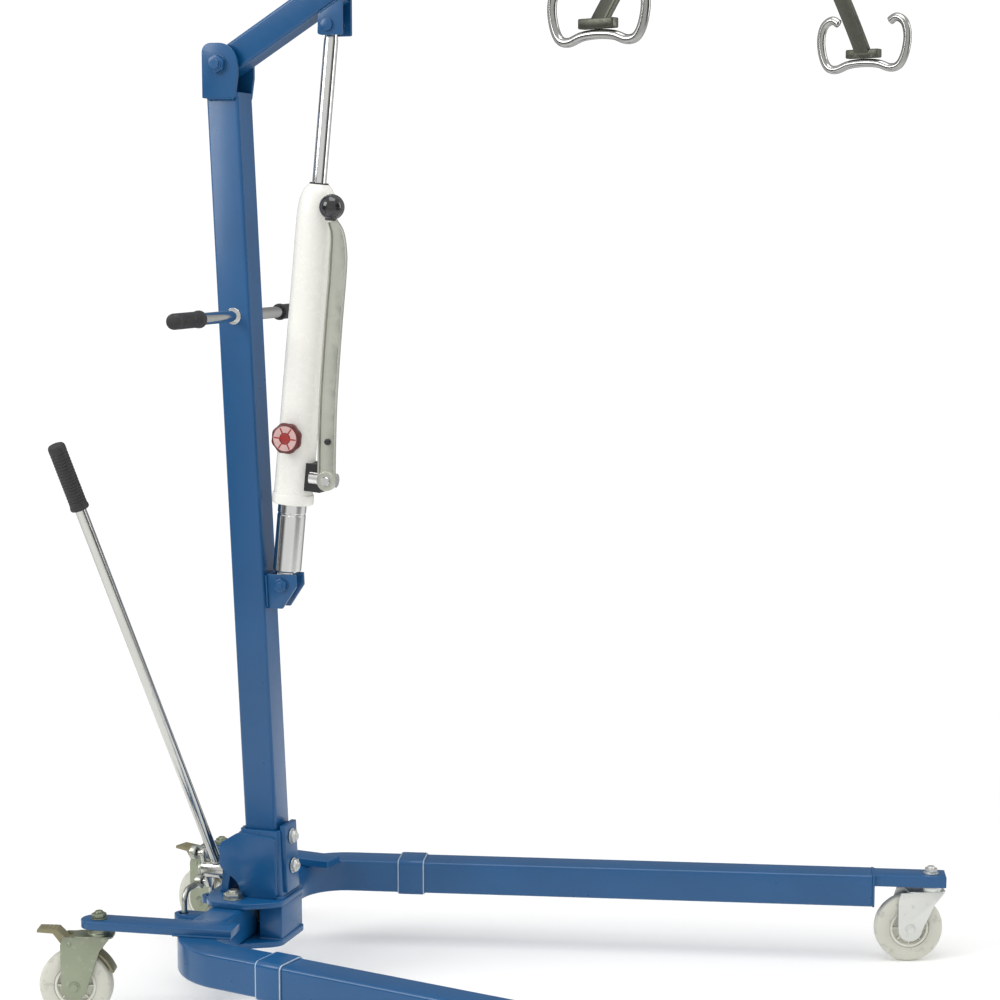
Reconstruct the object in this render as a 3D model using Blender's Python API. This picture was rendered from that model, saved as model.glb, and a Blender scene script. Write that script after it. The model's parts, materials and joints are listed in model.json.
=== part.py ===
"""Hydraulic patient lift hoist: a V-shaped rolling base, a leaning mast, a boom raised by a
hand-pumped jack, and a four-point spreader bar.

Units are metres. +X points to the front of the hoist, along the boom, +Y to its left side and
+Z up. Groups are drawn about their own pivots and placed by empties that sit on the joint axes.
"""

import math

import bmesh
import bpy
from mathutils import Matrix, Vector

# ---- Driving dimensions -------------------------------------------------------------------
TUBE = 0.050            # square tube of mast and legs
BOOM_TUBE = 0.040       # square tube of the boom
WALL = 0.003            # its wall
TUBE_CORNER = 0.005     # its outer corner radius
GAP = 0.0003            # clearance between pieces that touch
ORIGIN_X = 0.3320       # from the mast's foot to the middle of the footprint
MAST_LEAN = 0.0419      # rearward travel of the mast per metre of height

WHEEL_R = 0.052
WHEEL_HALF_W = 0.012
CASTER_TRAIL = 0.034
FRONT_CROWN_Z = 0.1095
REAR_CROWN_Z = 0.1250
FRONT_CASTER_YAW = math.radians(20.7)
REAR_CASTER_YAW = math.radians(-16.0)
BRAKE_PIN = (-0.040, 0.0, 0.1145)

LEG_Z = 0.111           # centreline height of the leg tubes
LEG_PIVOT = Vector((-0.045, 0.047))
LEG_ROOT_Y = 0.020      # where a leg tube starts, between the hub plates
LEG_SPLAY = math.radians(11.94)
LEG_BEND_R = 0.090
LEG_BEND_Y = 0.155      # where the lateral run ends and the bend begins
LEG_LENGTH = 0.808      # straight run from bend to tube end
LUG_X = -0.125          # steering lug behind the leg pivot

FRONT_STEM = 0.090      # stem ahead of the tube end, along the leg
REAR_STEM = Vector((-0.180, 0.205))
TAIL_ROOT = Vector((0.020, 0.182))

HUB_BOTTOM_Z = 0.0777
HUB_TOP_Z = 0.1363
HUB_OUTLINE = ((0.030, 0.040), (0.020, 0.052), (-0.018, 0.073), (-0.070, 0.073), (-0.084, 0.056),
               (-0.092, 0.026))
HUB_FRONT_BLOCK = (-0.008, 0.028, 0.038)        # from x, to x, half width
HUB_REAR_BLOCK = (-0.0900, -0.0775, 0.0255)
PLATE_T = 0.008
MAST_FOOT_Z = HUB_TOP_Z + PLATE_T + GAP
MAST_TOP_Z = 1.308
PUSH_BAR_Z = 0.993
PUSH_BAR_HALF = 0.222
PUSH_GRIP_LENGTH = 0.085
SOCKET_TOP_Z = 0.245
SOCKET_WALL = 0.006
SOCKET_BOLTS_Z = (0.188, 0.232)

BOOM_PIVOT = Vector((-0.058, 0.0, 1.3467))
BOOM_RISE = math.radians(31.6)
BOOM_END = 0.820        # tube end, measured from the pivot
HANG_U = 0.873          # hanger pin, measured from the pivot
CLEVIS_U = 0.165
CLEVIS_N = -0.041

JACK_FOOT = Vector((0.024, 0.0, 0.607))
JACK_LENGTH = 0.7953    # foot pin to rod eye, boom as drawn
JACK_TILT = math.radians(5.77)
JACK_BODY_R = 0.028
ROD_R = 0.0100
PUMP_PIVOT_T = 0.0600   # pump handle's pivot ahead of the jack's axis
PUMP_S = 0.161          # height of the pump above the foot pin
PUMP_BOSS_Y = -0.0120
PUMP_BOSS_R = 0.0105
HANDLE_Y = -0.0266      # middle of the handle's strip
HANDLE_WIDTH = 0.026
HANDLE_T = 0.0072

SPREADER_TURN = math.radians(20.4)
SPREADER_HALF = 0.323
SPREADER_DROP = 0.164   # hanger pin to the middle of the boss
HOOK_DROP = 0.460       # hanger pin to the hooks' crossbars
HOOK_ROD_R = 0.006

LEVER_AXLE_Z = 0.172
CRANK_R = 0.0255
CRANK_ANGLE = math.radians(19.0)
LEVER_LENGTH = 0.690
LEVER_RAKE = math.radians(10.9)

# ---- Finishes: colour, roughness, metallic -------------------------------------------------
BLUE = ((0.030, 0.115, 0.300), 0.30, 0.0)
WHITE = ((0.860, 0.860, 0.800), 0.35, 0.0)
CHROME = ((0.700, 0.700, 0.690), 0.15, 1.0)
ZINC = ((0.420, 0.440, 0.400), 0.35, 1.0)
BLACK = ((0.020, 0.020, 0.020), 0.55, 0.0)
TREAD = ((0.610, 0.610, 0.540), 0.50, 0.0)
HUB = ((0.760, 0.760, 0.700), 0.45, 0.0)
OLIVE = ((0.330, 0.300, 0.190), 0.45, 0.6)
RED = ((0.420, 0.060, 0.050), 0.40, 0.0)
GUNMETAL = ((0.180, 0.190, 0.160), 0.30, 0.9)


# ---- Building blocks -----------------------------------------------------------------------
def clear_scene():
    for item in list(bpy.data.objects):
        bpy.data.objects.remove(item, do_unlink=True)


def object_from(name, mesh_builder):
    mesh = bpy.data.meshes.new(name)
    bmesh.ops.recalc_face_normals(mesh_builder, faces=mesh_builder.faces)
    mesh_builder.to_mesh(mesh)
    mesh_builder.free()
    item = bpy.data.objects.new(name, mesh)
    bpy.context.scene.collection.objects.link(item)
    return item


def finish(item, paint, parent=None, sharp_deg=35.0):
    """Gives a piece its own material and smooth shading, and hangs it on its group's empty."""
    colour, roughness, metallic = paint
    material = bpy.data.materials.new(item.name + "_finish")
    material.use_nodes = True
    shader = material.node_tree.nodes["Principled BSDF"]
    shader.inputs["Base Color"].default_value = (*colour, 1.0)
    shader.inputs["Roughness"].default_value = roughness
    shader.inputs["Metallic"].default_value = metallic
    item.data.materials.clear()
    item.data.materials.append(material)
    item.data.shade_smooth()
    item.data.set_sharp_from_angle(angle=math.radians(sharp_deg))
    item.parent = parent
    return item


def empty(name, location, rotation=(0.0, 0.0, 0.0), parent=None):
    pivot = bpy.data.objects.new(name, None)
    pivot.empty_display_size = 0.05
    pivot.location = location
    pivot.rotation_euler = rotation
    pivot.parent = parent
    bpy.context.scene.collection.objects.link(pivot)
    return pivot


def combine(target, other, operation):
    """Applies one exact boolean and drops the second object."""
    modifier = target.modifiers.new("shape", "BOOLEAN")
    modifier.operation = operation
    modifier.solver = "EXACT"
    modifier.object = other
    bpy.context.view_layer.update()
    evaluated = target.evaluated_get(bpy.context.evaluated_depsgraph_get())
    mesh = bpy.data.meshes.new_from_object(evaluated)
    target.modifiers.clear()
    target.data = mesh
    bpy.data.objects.remove(other, do_unlink=True)
    return target


def union(target, *others):
    for other in others:
        combine(target, other, "UNION")
    return target


def cut(target, *others):
    for other in others:
        combine(target, other, "DIFFERENCE")
    return target


def rounded_rect(width, height, radius, steps=2):
    """Outline of a rectangle with rounded corners, anticlockwise about the origin."""
    points = []
    centres = ((1, 1, 0), (-1, 1, 90), (-1, -1, 180), (1, -1, 270))
    for sign_u, sign_v, start in centres:
        centre_u = sign_u * (width / 2 - radius)
        centre_v = sign_v * (height / 2 - radius)
        for step in range(steps + 1):
            angle = math.radians(start + 90 * step / steps)
            points.append((centre_u + radius * math.cos(angle), centre_v + radius * math.sin(angle)))
    return points


def arc(centre, radius, start_deg, end_deg, steps):
    """Points along an arc, both ends included."""
    points = []
    for step in range(steps + 1):
        angle = math.radians(start_deg + (end_deg - start_deg) * step / steps)
        points.append((centre[0] + radius * math.cos(angle), centre[1] + radius * math.sin(angle)))
    return points


def prism(name, outline, start, end, shear=0.0):
    """Extrudes an XY outline from height start to height end; shear moves it along -X per metre."""
    builder = bmesh.new()
    low = [builder.verts.new((x - shear * start, y, start)) for x, y in outline]
    high = [builder.verts.new((x - shear * end, y, end)) for x, y in outline]
    count = len(outline)
    for index in range(count):
        after = (index + 1) % count
        builder.faces.new((low[index], low[after], high[after], high[index]))
    builder.faces.new(high)
    builder.faces.new(low[::-1])
    return object_from(name, builder)


def cheek(name, outline, centre_y, thickness):
    """A plate in the XZ plane, given by its outline there, standing at centre_y."""
    item = prism(name, outline, -thickness / 2, thickness / 2)
    item.data.transform(Matrix.Translation((0, centre_y, 0)) @ Matrix.Rotation(math.pi / 2, 4, "X"))
    return item


def block(name, low, high):
    outline = [(low[0], low[1]), (high[0], low[1]), (high[0], high[1]), (low[0], high[1])]
    return prism(name, outline, low[2], high[2])


def turned(name, profile, segments=24, axis="Z", at=(0.0, 0.0, 0.0), phase=0.5):
    """Lathes (radius, height) pairs about an axis. A closed loop makes a ring; a profile whose
    ends have radius 0 makes a solid."""
    builder = bmesh.new()
    solid = profile[0][0] == 0.0
    rings = []
    for radius, height in profile:
        if radius == 0.0:
            rings.append([builder.verts.new((0, 0, height))])
            continue
        ring = []
        for segment in range(segments):
            angle = 2 * math.pi * (segment + phase) / segments
            ring.append(builder.verts.new((radius * math.cos(angle), radius * math.sin(angle), height)))
        rings.append(ring)
    pairs = list(zip(rings, rings[1:]))
    if not solid:
        pairs.append((rings[-1], rings[0]))
    for lower, upper in pairs:
        for segment in range(segments):
            after = (segment + 1) % segments
            if len(lower) == 1:
                builder.faces.new((lower[0], upper[after], upper[segment]))
            elif len(upper) == 1:
                builder.faces.new((lower[segment], lower[after], upper[0]))
            else:
                builder.faces.new((lower[segment], lower[after], upper[after], upper[segment]))
    item = object_from(name, builder)
    turns = {
        "Z": Matrix.Identity(4),
        "X": Matrix.Rotation(math.pi / 2, 4, "Y"),
        "Y": Matrix.Rotation(-math.pi / 2, 4, "X"),
    }
    item.data.transform(Matrix.Translation(at) @ turns[axis])
    return item


def rod(name, radius, start, end, segments=12, axis="Z", at=(0.0, 0.0, 0.0)):
    return turned(name, [(0.0, start), (radius, start), (radius, end), (0.0, end)], segments, axis, at)


def through_bolt(name, radius, half_grip, axis, at, head_r=None, head_t=0.006):
    """A bolt with a head at one end and a nut at the other, centred on its grip."""
    head_r = head_r or radius * 1.7
    face = half_grip + GAP
    profile = [
        (0.0, -face - head_t), (head_r, -face - head_t), (head_r, -face), (radius, -face),
        (radius, face), (head_r, face), (head_r, face + head_t), (0.0, face + head_t),
    ]
    return turned(name, profile, 12, axis, at)


def swept(name, stations, outline, inner=None):
    """Joins copies of an outline along stations, each (position, side vector, up vector). With an
    inner outline of as many points it makes an open-ended tube."""
    builder = bmesh.new()

    def ring(station, points):
        place, side, up = station
        return [builder.verts.new(Vector(place) + Vector(side) * u + Vector(up) * v) for u, v in points]

    outer_rings = [ring(station, outline) for station in stations]
    inner_rings = [ring(station, inner) for station in stations] if inner else []
    count = len(outline)
    for rings in (outer_rings, inner_rings):
        for lower, upper in zip(rings, rings[1:]):
            for index in range(count):
                after = (index + 1) % count
                builder.faces.new((lower[index], lower[after], upper[after], upper[index]))
    for end in (0, -1):
        if inner:
            for index in range(count):
                after = (index + 1) % count
                outer_pair = (outer_rings[end][index], outer_rings[end][after])
                inner_pair = (inner_rings[end][after], inner_rings[end][index])
                builder.faces.new(outer_pair + inner_pair)
        else:
            builder.faces.new(outer_rings[end])
    return object_from(name, builder)


def frames_along(points, up=(0.0, 0.0, 1.0)):
    """Stations with mitred joints for a path that lies in the plane square to up."""
    points = [Vector(point) for point in points]
    up = Vector(up)
    stations = []
    for index, point in enumerate(points):
        before = (point - points[index - 1]).normalized() if index else None
        after = (points[index + 1] - point).normalized() if index < len(points) - 1 else None
        tangent = ((before or after) + (after or before)).normalized()
        side = tangent.cross(up).normalized()
        if before and after:
            side = side / max(0.5, tangent.dot(before))
        stations.append((point, side, up))
    return stations


def round_bar(name, points, radius, sides=8):
    """A round bar along a path in any direction, by carrying one side vector from point to point."""
    points = [Vector(point) for point in points]
    outline = arc((0.0, 0.0), radius, 0, 360 - 360 / sides, sides - 1)
    tangents = []
    for index in range(len(points)):
        behind = points[max(index - 1, 0)]
        ahead = points[min(index + 1, len(points) - 1)]
        tangents.append((ahead - behind).normalized())
    side = tangents[0].orthogonal().normalized()
    stations = []
    for point, tangent in zip(points, tangents):
        side = (side - tangent * side.dot(tangent)).normalized()
        stations.append((point, side, tangent.cross(side)))
    return swept(name, stations, outline)


def smooth_path(points, steps=3):
    """A Catmull-Rom curve through the given points."""
    points = [Vector(point) for point in points]
    padded = [2 * points[0] - points[1]] + points + [2 * points[-1] - points[-2]]
    path = []
    for index in range(1, len(padded) - 2):
        p0, p1, p2, p3 = padded[index - 1:index + 3]
        for step in range(steps):
            t = step / steps
            path.append(0.5 * (2 * p1 + (p2 - p0) * t + (2 * p0 - 5 * p1 + 4 * p2 - p3) * t ** 2
                               + (3 * p1 - p0 - 3 * p2 + p3) * t ** 3))
    path.append(points[-1])
    return path


def tube_profiles(clearance=0.0, wall=WALL, size=TUBE):
    """Outer and inner outlines of a square tube, or of a sleeve that fits around one."""
    inner_size = size - 2 * wall
    outer = rounded_rect(size, size, TUBE_CORNER + clearance)
    inner = rounded_rect(inner_size, inner_size, max(0.001, TUBE_CORNER + clearance - wall))
    return outer, inner


def mast_x(height):
    return -MAST_LEAN * height


# ---- Base ----------------------------------------------------------------------------------
def make_hub(root):
    """Two plates with blocks in front and behind, and the legs' pivot bolts between them."""
    outline = [(x, y) for x, y in HUB_OUTLINE] + [(x, -y) for x, y in reversed(HUB_OUTLINE)]
    bottom = prism("hub_base", outline, HUB_BOTTOM_Z, HUB_BOTTOM_Z + PLATE_T)
    for low_x, high_x, half_y in (HUB_FRONT_BLOCK, HUB_REAR_BLOCK):
        post = block("post", (low_x, -half_y, HUB_BOTTOM_Z + PLATE_T / 2), (high_x, half_y, HUB_TOP_Z - GAP))
        union(bottom, post)
    top = prism("hub_top_plate", outline, HUB_TOP_Z, HUB_TOP_Z + PLATE_T)
    for side in (-1, 1):
        at = (LEG_PIVOT.x, side * LEG_PIVOT.y, 0.0)
        cut(bottom, rod("hole", 0.0083, 0.05, 0.10, at=at))
        cut(top, rod("hole", 0.0083, 0.12, 0.16, at=at))
    finish(bottom, BLUE, root)
    finish(top, BLUE, root)
    middle = (HUB_BOTTOM_Z + HUB_TOP_Z + PLATE_T) / 2
    half_grip = (HUB_TOP_Z + PLATE_T - HUB_BOTTOM_Z) / 2
    for name, side in (("leg_pivot_bolt_near", -1), ("leg_pivot_bolt_far", 1)):
        at = (LEG_PIVOT.x, side * LEG_PIVOT.y, middle)
        finish(through_bolt(name, 0.008, half_grip, "Z", at, 0.0125), ZINC, root)


def leaning_stations(low, high):
    """Stations along the mast's axis between two heights."""
    return [((mast_x(height), 0, height), (1, 0, 0), (0, 1, 0)) for height in (low, high)]


def make_mast(root):
    outer, inner = tube_profiles()
    mast = swept("mast", leaning_stations(MAST_FOOT_Z, MAST_TOP_Z), outer, inner)
    for height in SOCKET_BOLTS_Z:
        cut(mast, rod("hole", 0.0053, -0.06, 0.06, 12, "X", (mast_x(height), 0, height)))
    cut(mast, rod("hole", 0.0088, -0.06, 0.06, 12, "Y", (mast_x(PUSH_BAR_Z), 0, PUSH_BAR_Z)))
    finish(mast, BLUE, root)


def make_socket(root):
    """A sleeve around the mast's foot, with a clamping plate in front and two side cheeks that
    reach back over the lever's axle."""
    sleeve_outer, sleeve_inner = tube_profiles(GAP, SOCKET_WALL, TUBE + 2 * (GAP + SOCKET_WALL))
    socket = swept("mast_socket", leaning_stations(MAST_FOOT_Z, SOCKET_TOP_Z), sleeve_outer, sleeve_inner)
    face = TUBE / 2 + GAP + SOCKET_WALL
    clamp_t, cheek_t = 0.006, 0.005
    clamp_outline = [(face - 0.002, -0.022), (face + clamp_t, -0.022), (face + clamp_t, 0.022),
                     (face - 0.002, 0.022)]
    clamp = prism("clamp", clamp_outline, 0.152, SOCKET_TOP_Z + 0.006, MAST_LEAN)
    union(socket, clamp)
    outline = [(0.018, MAST_FOOT_Z), (0.016, 0.236), (-0.042, 0.240), (-0.072, 0.221), (-0.072, 0.186),
               (-0.044, 0.166), (-0.036, MAST_FOOT_Z)]
    for side in (-1, 1):
        union(socket, cheek("cheek", outline, side * (face + cheek_t / 2 - 0.0008), cheek_t))
    for height in SOCKET_BOLTS_Z:
        cut(socket, rod("hole", 0.0053, -0.06, 0.06, 12, "X", (mast_x(height), 0, height)))
    finish(socket, BLUE, root)
    half_grip = face + clamp_t / 2 + 0.0006
    for name, height in zip(("socket_bolt_lower", "socket_bolt_upper"), SOCKET_BOLTS_Z):
        bolt = through_bolt(name, 0.005, half_grip, "X", (mast_x(height) + clamp_t / 2, 0, height), 0.009)
        finish(bolt, ZINC, root)


def make_push_bar(root):
    x = mast_x(PUSH_BAR_Z)
    bar = rod("push_bar", 0.0085, -PUSH_BAR_HALF + 0.004, PUSH_BAR_HALF - 0.004, 12, "Y", (x, 0, PUSH_BAR_Z))
    finish(bar, CHROME, root)
    inner_r = 0.0085 + GAP
    end = PUSH_BAR_HALF
    mouth = end - PUSH_GRIP_LENGTH
    profile = [
        (0.0, end - 0.004 + GAP), (inner_r, end - 0.004 + GAP), (inner_r, mouth), (0.0116, mouth),
        (0.0124, mouth + 0.006), (0.0112, mouth + 0.018), (0.0112, end - 0.006), (0.0088, end),
        (0.0, end),
    ]
    for name, side in (("push_grip_near", -1), ("push_grip_far", 1)):
        grip = turned(name, profile, 16, "Y")
        grip.data.transform(Matrix.Translation((x, 0, PUSH_BAR_Z)) @ Matrix.Scale(side, 4, (0, 1, 0)))
        if side < 0:
            grip.data.flip_normals()
        finish(grip, BLACK, root)


def make_mast_head(root):
    """Two cheeks around the boom's heel, joined by a web behind the mast."""
    inner_y = TUBE / 2 + 2 * GAP
    plate_t, web_t = 0.005, 0.003
    low_z, web_top, crown_r = 1.300, 1.325, 0.030
    rear_x = mast_x(low_z) - TUBE / 2 - GAP - web_t
    pivot = (BOOM_PIVOT.x, BOOM_PIVOT.z)
    outline = [(rear_x, low_z), (mast_x(low_z) + 0.022, low_z), (pivot[0] + crown_r, 1.330)]
    outline += arc(pivot, crown_r, 0, 90, 5)
    outline += [(rear_x + 0.012, pivot[1] + crown_r), (rear_x + 0.003, pivot[1] + crown_r - 0.005),
                (rear_x, pivot[1] + crown_r - 0.014)]
    head = cheek("mast_head_bracket", outline, -(inner_y + plate_t / 2), plate_t)
    other = cheek("other", outline, inner_y + plate_t / 2, plate_t)
    rear = -TUBE / 2 - GAP
    web_outline = [(rear - web_t, -inner_y - 0.002), (rear, -inner_y - 0.002),
                   (rear, inner_y + 0.002), (rear - web_t, inner_y + 0.002)]
    web = prism("web", web_outline, low_z, web_top, MAST_LEAN)
    union(head, web, other)
    cut(head, rod("hole", 0.0083, -0.05, 0.05, 12, "Y", BOOM_PIVOT))
    finish(head, BLUE, root)
    bolt = through_bolt("boom_pivot_bolt", 0.008, inner_y + plate_t, "Y", BOOM_PIVOT, 0.012, 0.004)
    finish(bolt, BLUE, root)


def make_jack_bracket(root):
    """A U of plate on the mast's front face that holds the jack's foot pin."""
    low_z, high_z = 0.572, 0.622
    back = TUBE / 2 + GAP
    outline = [(back, -0.0168), (back + 0.047, -0.0168), (back + 0.047, -0.0118), (back + 0.005, -0.0118),
               (back + 0.005, 0.0118), (back + 0.047, 0.0118), (back + 0.047, 0.0168), (back, 0.0168)]
    bracket = prism("jack_bracket", outline, low_z, high_z, MAST_LEAN)
    toe = cheek("toe", [(0.017, 0.560), (0.080, 0.560), (0.080, 0.640), (0.0465, 0.604)], 0.0, 0.08)
    cut(bracket, toe)
    cut(bracket, rod("hole", 0.0063, -0.04, 0.04, 12, "Y", JACK_FOOT))
    finish(bracket, BLUE, root)
    pin = through_bolt("jack_foot_pin", 0.006, 0.0168, "Y", JACK_FOOT, 0.010, 0.005)
    finish(pin, BLUE, root)


# ---- Legs and casters ------------------------------------------------------------------------
def leg_end(distance):
    """A point on the left leg's centreline, that far beyond the bend, as (x, y)."""
    centre = Vector((LEG_PIVOT.x + LEG_BEND_R, LEG_BEND_Y))
    bend_exit = centre + LEG_BEND_R * Vector((-math.sin(LEG_SPLAY), math.cos(LEG_SPLAY)))
    return bend_exit + distance * Vector((math.cos(LEG_SPLAY), math.sin(LEG_SPLAY)))


def mirrored(item, side):
    """Reflects a piece drawn for the left side to the right where side is -1."""
    if side < 0:
        item.data.transform(Matrix.Scale(-1, 4, (0, 1, 0)))
        item.data.flip_normals()
    return item


def make_leg(tag, side, pivot):
    outer, inner = tube_profiles()
    centre = (LEG_PIVOT.x + LEG_BEND_R, LEG_BEND_Y)
    path = [(LEG_PIVOT.x, LEG_ROOT_Y)]
    path += arc(centre, LEG_BEND_R, 180, 90 + math.degrees(LEG_SPLAY), 7)
    path.append(tuple(leg_end(LEG_LENGTH)))
    leg = swept("leg_" + tag, frames_along([(x, y, LEG_Z) for x, y in path]), outer, inner)
    lug_y = LEG_PIVOT.y
    lug = prism("lug", [(-0.0685, lug_y - 0.017), (-0.0685, lug_y + 0.017)]
                + arc((LUG_X, lug_y), 0.014, 90, 270, 6), 0.105, 0.115)
    union(leg, lug)
    cut(leg, rod("hole", 0.0083, 0.05, 0.16, at=(LEG_PIVOT.x, LEG_PIVOT.y, 0)))
    cut(leg, rod("hole", 0.0070, 0.09, 0.13, at=(LUG_X, lug_y, 0)))
    finish(mirrored(leg, side), BLUE, pivot)

    sleeve_wall = 0.0025
    sleeve_outer, sleeve_inner = tube_profiles(GAP, sleeve_wall, TUBE + 2 * (GAP + sleeve_wall))
    ends = [(*leg_end(distance), LEG_Z) for distance in (0.078, 0.116)]
    sleeve = swept("leg_sleeve_" + tag, frames_along(ends), sleeve_outer, sleeve_inner)
    finish(mirrored(sleeve, side), BLUE, pivot)


def make_front_mount(tag, side, pivot):
    """An end plate on the leg tube with a channel that carries the caster's stem."""
    start = leg_end(LEG_LENGTH + GAP)
    place = Matrix.Translation((start.x, start.y, 0)) @ Matrix.Rotation(LEG_SPLAY, 4, "Z")
    low, high = LEG_Z - TUBE / 2, LEG_Z + TUBE / 2
    mount = block("front_caster_mount_" + tag, (0, -0.025, low), (0.004, 0.025, high))
    channel = block("channel", (0.002, -0.021, 0.1180), (FRONT_STEM + 0.022, 0.021, high - 0.0005))
    hollow = block("hollow", (0.006, -0.0175, 0.1100), (FRONT_STEM + 0.030, 0.0175, high - 0.0045))
    union(mount, cut(channel, hollow))
    cut(mount, rod("hole", 0.0064, 0.10, 0.15, at=(FRONT_STEM, 0, 0)))
    mount.data.transform(place)
    finish(mirrored(mount, side), BLUE, pivot)
    return leg_end(LEG_LENGTH + GAP + FRONT_STEM)


def make_tail_bar(tag, side, pivot):
    """A flat bar welded on the bend that carries the rear caster."""
    direction = (REAR_STEM - TAIL_ROOT).normalized()
    across = Vector((-direction.y, direction.x))
    half = 0.020
    tip = REAR_STEM + direction * 0.006
    turn = math.degrees(math.atan2(direction.y, direction.x))
    outline = [TAIL_ROOT - across * half]
    outline += arc(tip, half, turn - 90, turn + 90, 6)
    outline.append(TAIL_ROOT + across * half)
    bar = prism("tail_bar_" + tag, [tuple(point) for point in outline],
                LEG_Z + TUBE / 2 + GAP, LEG_Z + TUBE / 2 + 0.012)
    cut(bar, rod("hole", 0.0064, 0.10, 0.18, at=(*REAR_STEM, 0)))
    finish(mirrored(bar, side), BLUE, pivot)


def make_fork(name, crown_z, plate_low, plate_high, brake, swivel):
    """A pressed fork with its riveted axle, race, stem and lock nut, drawn about the stem."""
    axle = (-CASTER_TRAIL, WHEEL_R)
    inner_y, plate_t = 0.0150, 0.0025
    outline = [(0.003, crown_z - 0.020), (0.016, crown_z - 0.004), (0.016, crown_z), (-0.049, crown_z),
               (-0.053, crown_z - 0.012)]
    outline += arc(axle, 0.0185, 180, 355, 8)
    fork = cheek(name, outline, -(inner_y + plate_t / 2), plate_t)
    other = cheek("other", outline, inner_y + plate_t / 2, plate_t)
    crown_outline = [(x - 0.008, y) for x, y in rounded_rect(0.058, 0.034, 0.010)]
    crown = prism("crown", crown_outline, crown_z - 0.003, crown_z + 0.001)
    nut_low = plate_high + GAP
    post = turned("post", [(0.0, crown_z), (0.016, crown_z), (0.015, plate_low - GAP), (0.006, plate_low - GAP),
                           (0.006, nut_low), (0.0105, nut_low), (0.0105, nut_low + 0.007),
                           (0.006, nut_low + 0.007), (0.005, nut_low + 0.011), (0.0, nut_low + 0.011)], 12)
    rivet_y = inner_y + plate_t
    rivet = turned("rivet", [(0.0, -rivet_y - 0.003), (0.007, -rivet_y - 0.002), (0.008, -rivet_y + 0.0005),
                             (0.005, -rivet_y + 0.0005), (0.005, rivet_y - 0.0005), (0.008, rivet_y - 0.0005),
                             (0.007, rivet_y + 0.002), (0.0, rivet_y + 0.003)], 12, "Y", (axle[0], 0, axle[1]))
    union(fork, other, crown, post, rivet)
    if brake:
        union(fork, rod("pin", 0.003, -rivet_y - 0.001, rivet_y + 0.001, 8, "Y", BRAKE_PIN))
    return finish(fork, ZINC, swivel)


def make_wheel(tag, swivel):
    """A tyre with a flat tread over a webbed hub that turns on the fork's axle."""
    spin = empty("wheel_axis_" + tag, (-CASTER_TRAIL, 0, WHEEL_R), parent=swivel)
    segments = 24
    tread_r = WHEEL_R / math.cos(math.pi / segments)
    half = WHEEL_HALF_W
    tyre_profile = [
        (0.0303, half - 0.001), (tread_r - 0.006, half), (tread_r - 0.002, half - 0.002),
        (tread_r, half - 0.005), (tread_r, -half + 0.005), (tread_r - 0.002, -half + 0.002),
        (tread_r - 0.006, -half), (0.0303, -half + 0.001),
    ]
    finish(turned("tyre_" + tag, tyre_profile, segments, "Y"), TREAD, spin)
    hub_profile = [
        (0.0054, 0.013), (0.011, 0.013), (0.012, 0.005), (0.025, 0.004), (0.026, 0.0095), (0.030, 0.0095),
        (0.030, -0.0095), (0.026, -0.0095), (0.025, -0.004), (0.012, -0.005), (0.011, -0.013),
        (0.0054, -0.013),
    ]
    finish(turned("wheel_hub_" + tag, hub_profile, 12, "Y"), HUB, spin)


def make_brake(tag, swivel):
    """A foot pedal whose shoe curves over the tyre."""
    wheel = (-CASTER_TRAIL, WHEEL_R)
    outline = arc(wheel, 0.0598, 20, 85, 6)
    outline += [(-0.036, 0.1203), (-0.044, 0.1203), (-0.058, 0.1345), (-0.086, 0.1350), (-0.087, 0.1300),
                (-0.064, 0.1285), (-0.052, 0.1125)]
    outline += arc(wheel, 0.0565, 100, 20, 7)
    brake = cheek("brake_pedal_" + tag, outline, 0.0, 0.025)
    cut(brake, rod("hole", 0.0034, -0.03, 0.03, 8, "Y", BRAKE_PIN))
    finish(brake, OLIVE, swivel)


def make_caster(tag, stem, yaw, leg_pivot, side, rear):
    """A swivel caster whose stem stands at (x, y) on the leg."""
    place = (stem[0] - LEG_PIVOT.x, side * (stem[1] - LEG_PIVOT.y), 0)
    swivel = empty("caster_swivel_" + tag, place, (0, 0, side * yaw), leg_pivot)
    if rear:
        plate_low = LEG_Z + TUBE / 2 + GAP
        plate_high = LEG_Z + TUBE / 2 + 0.012
    else:
        plate_low = LEG_Z + TUBE / 2 - 0.0045
        plate_high = LEG_Z + TUBE / 2 - 0.0005
    crown_z = REAR_CROWN_Z if rear else FRONT_CROWN_Z
    make_fork("caster_fork_" + tag, crown_z, plate_low, plate_high, rear, swivel)
    make_wheel(tag, swivel)
    if rear:
        make_brake(tag, swivel)


def make_legs(root):
    for tag, side in (("near", -1), ("far", 1)):
        pivot = empty("leg_pivot_" + tag, (LEG_PIVOT.x, side * LEG_PIVOT.y, 0), parent=root)
        children_before = set(bpy.data.objects)
        make_leg(tag, side, pivot)
        front_stem = make_front_mount(tag, side, pivot)
        make_tail_bar(tag, side, pivot)
        for item in set(bpy.data.objects) - children_before:
            item.data.transform(Matrix.Translation((-LEG_PIVOT.x, -side * LEG_PIVOT.y, 0)))
        make_caster("front_" + tag, front_stem, FRONT_CASTER_YAW, pivot, side, False)
        make_caster("rear_" + tag, REAR_STEM, REAR_CASTER_YAW, pivot, side, True)


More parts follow.
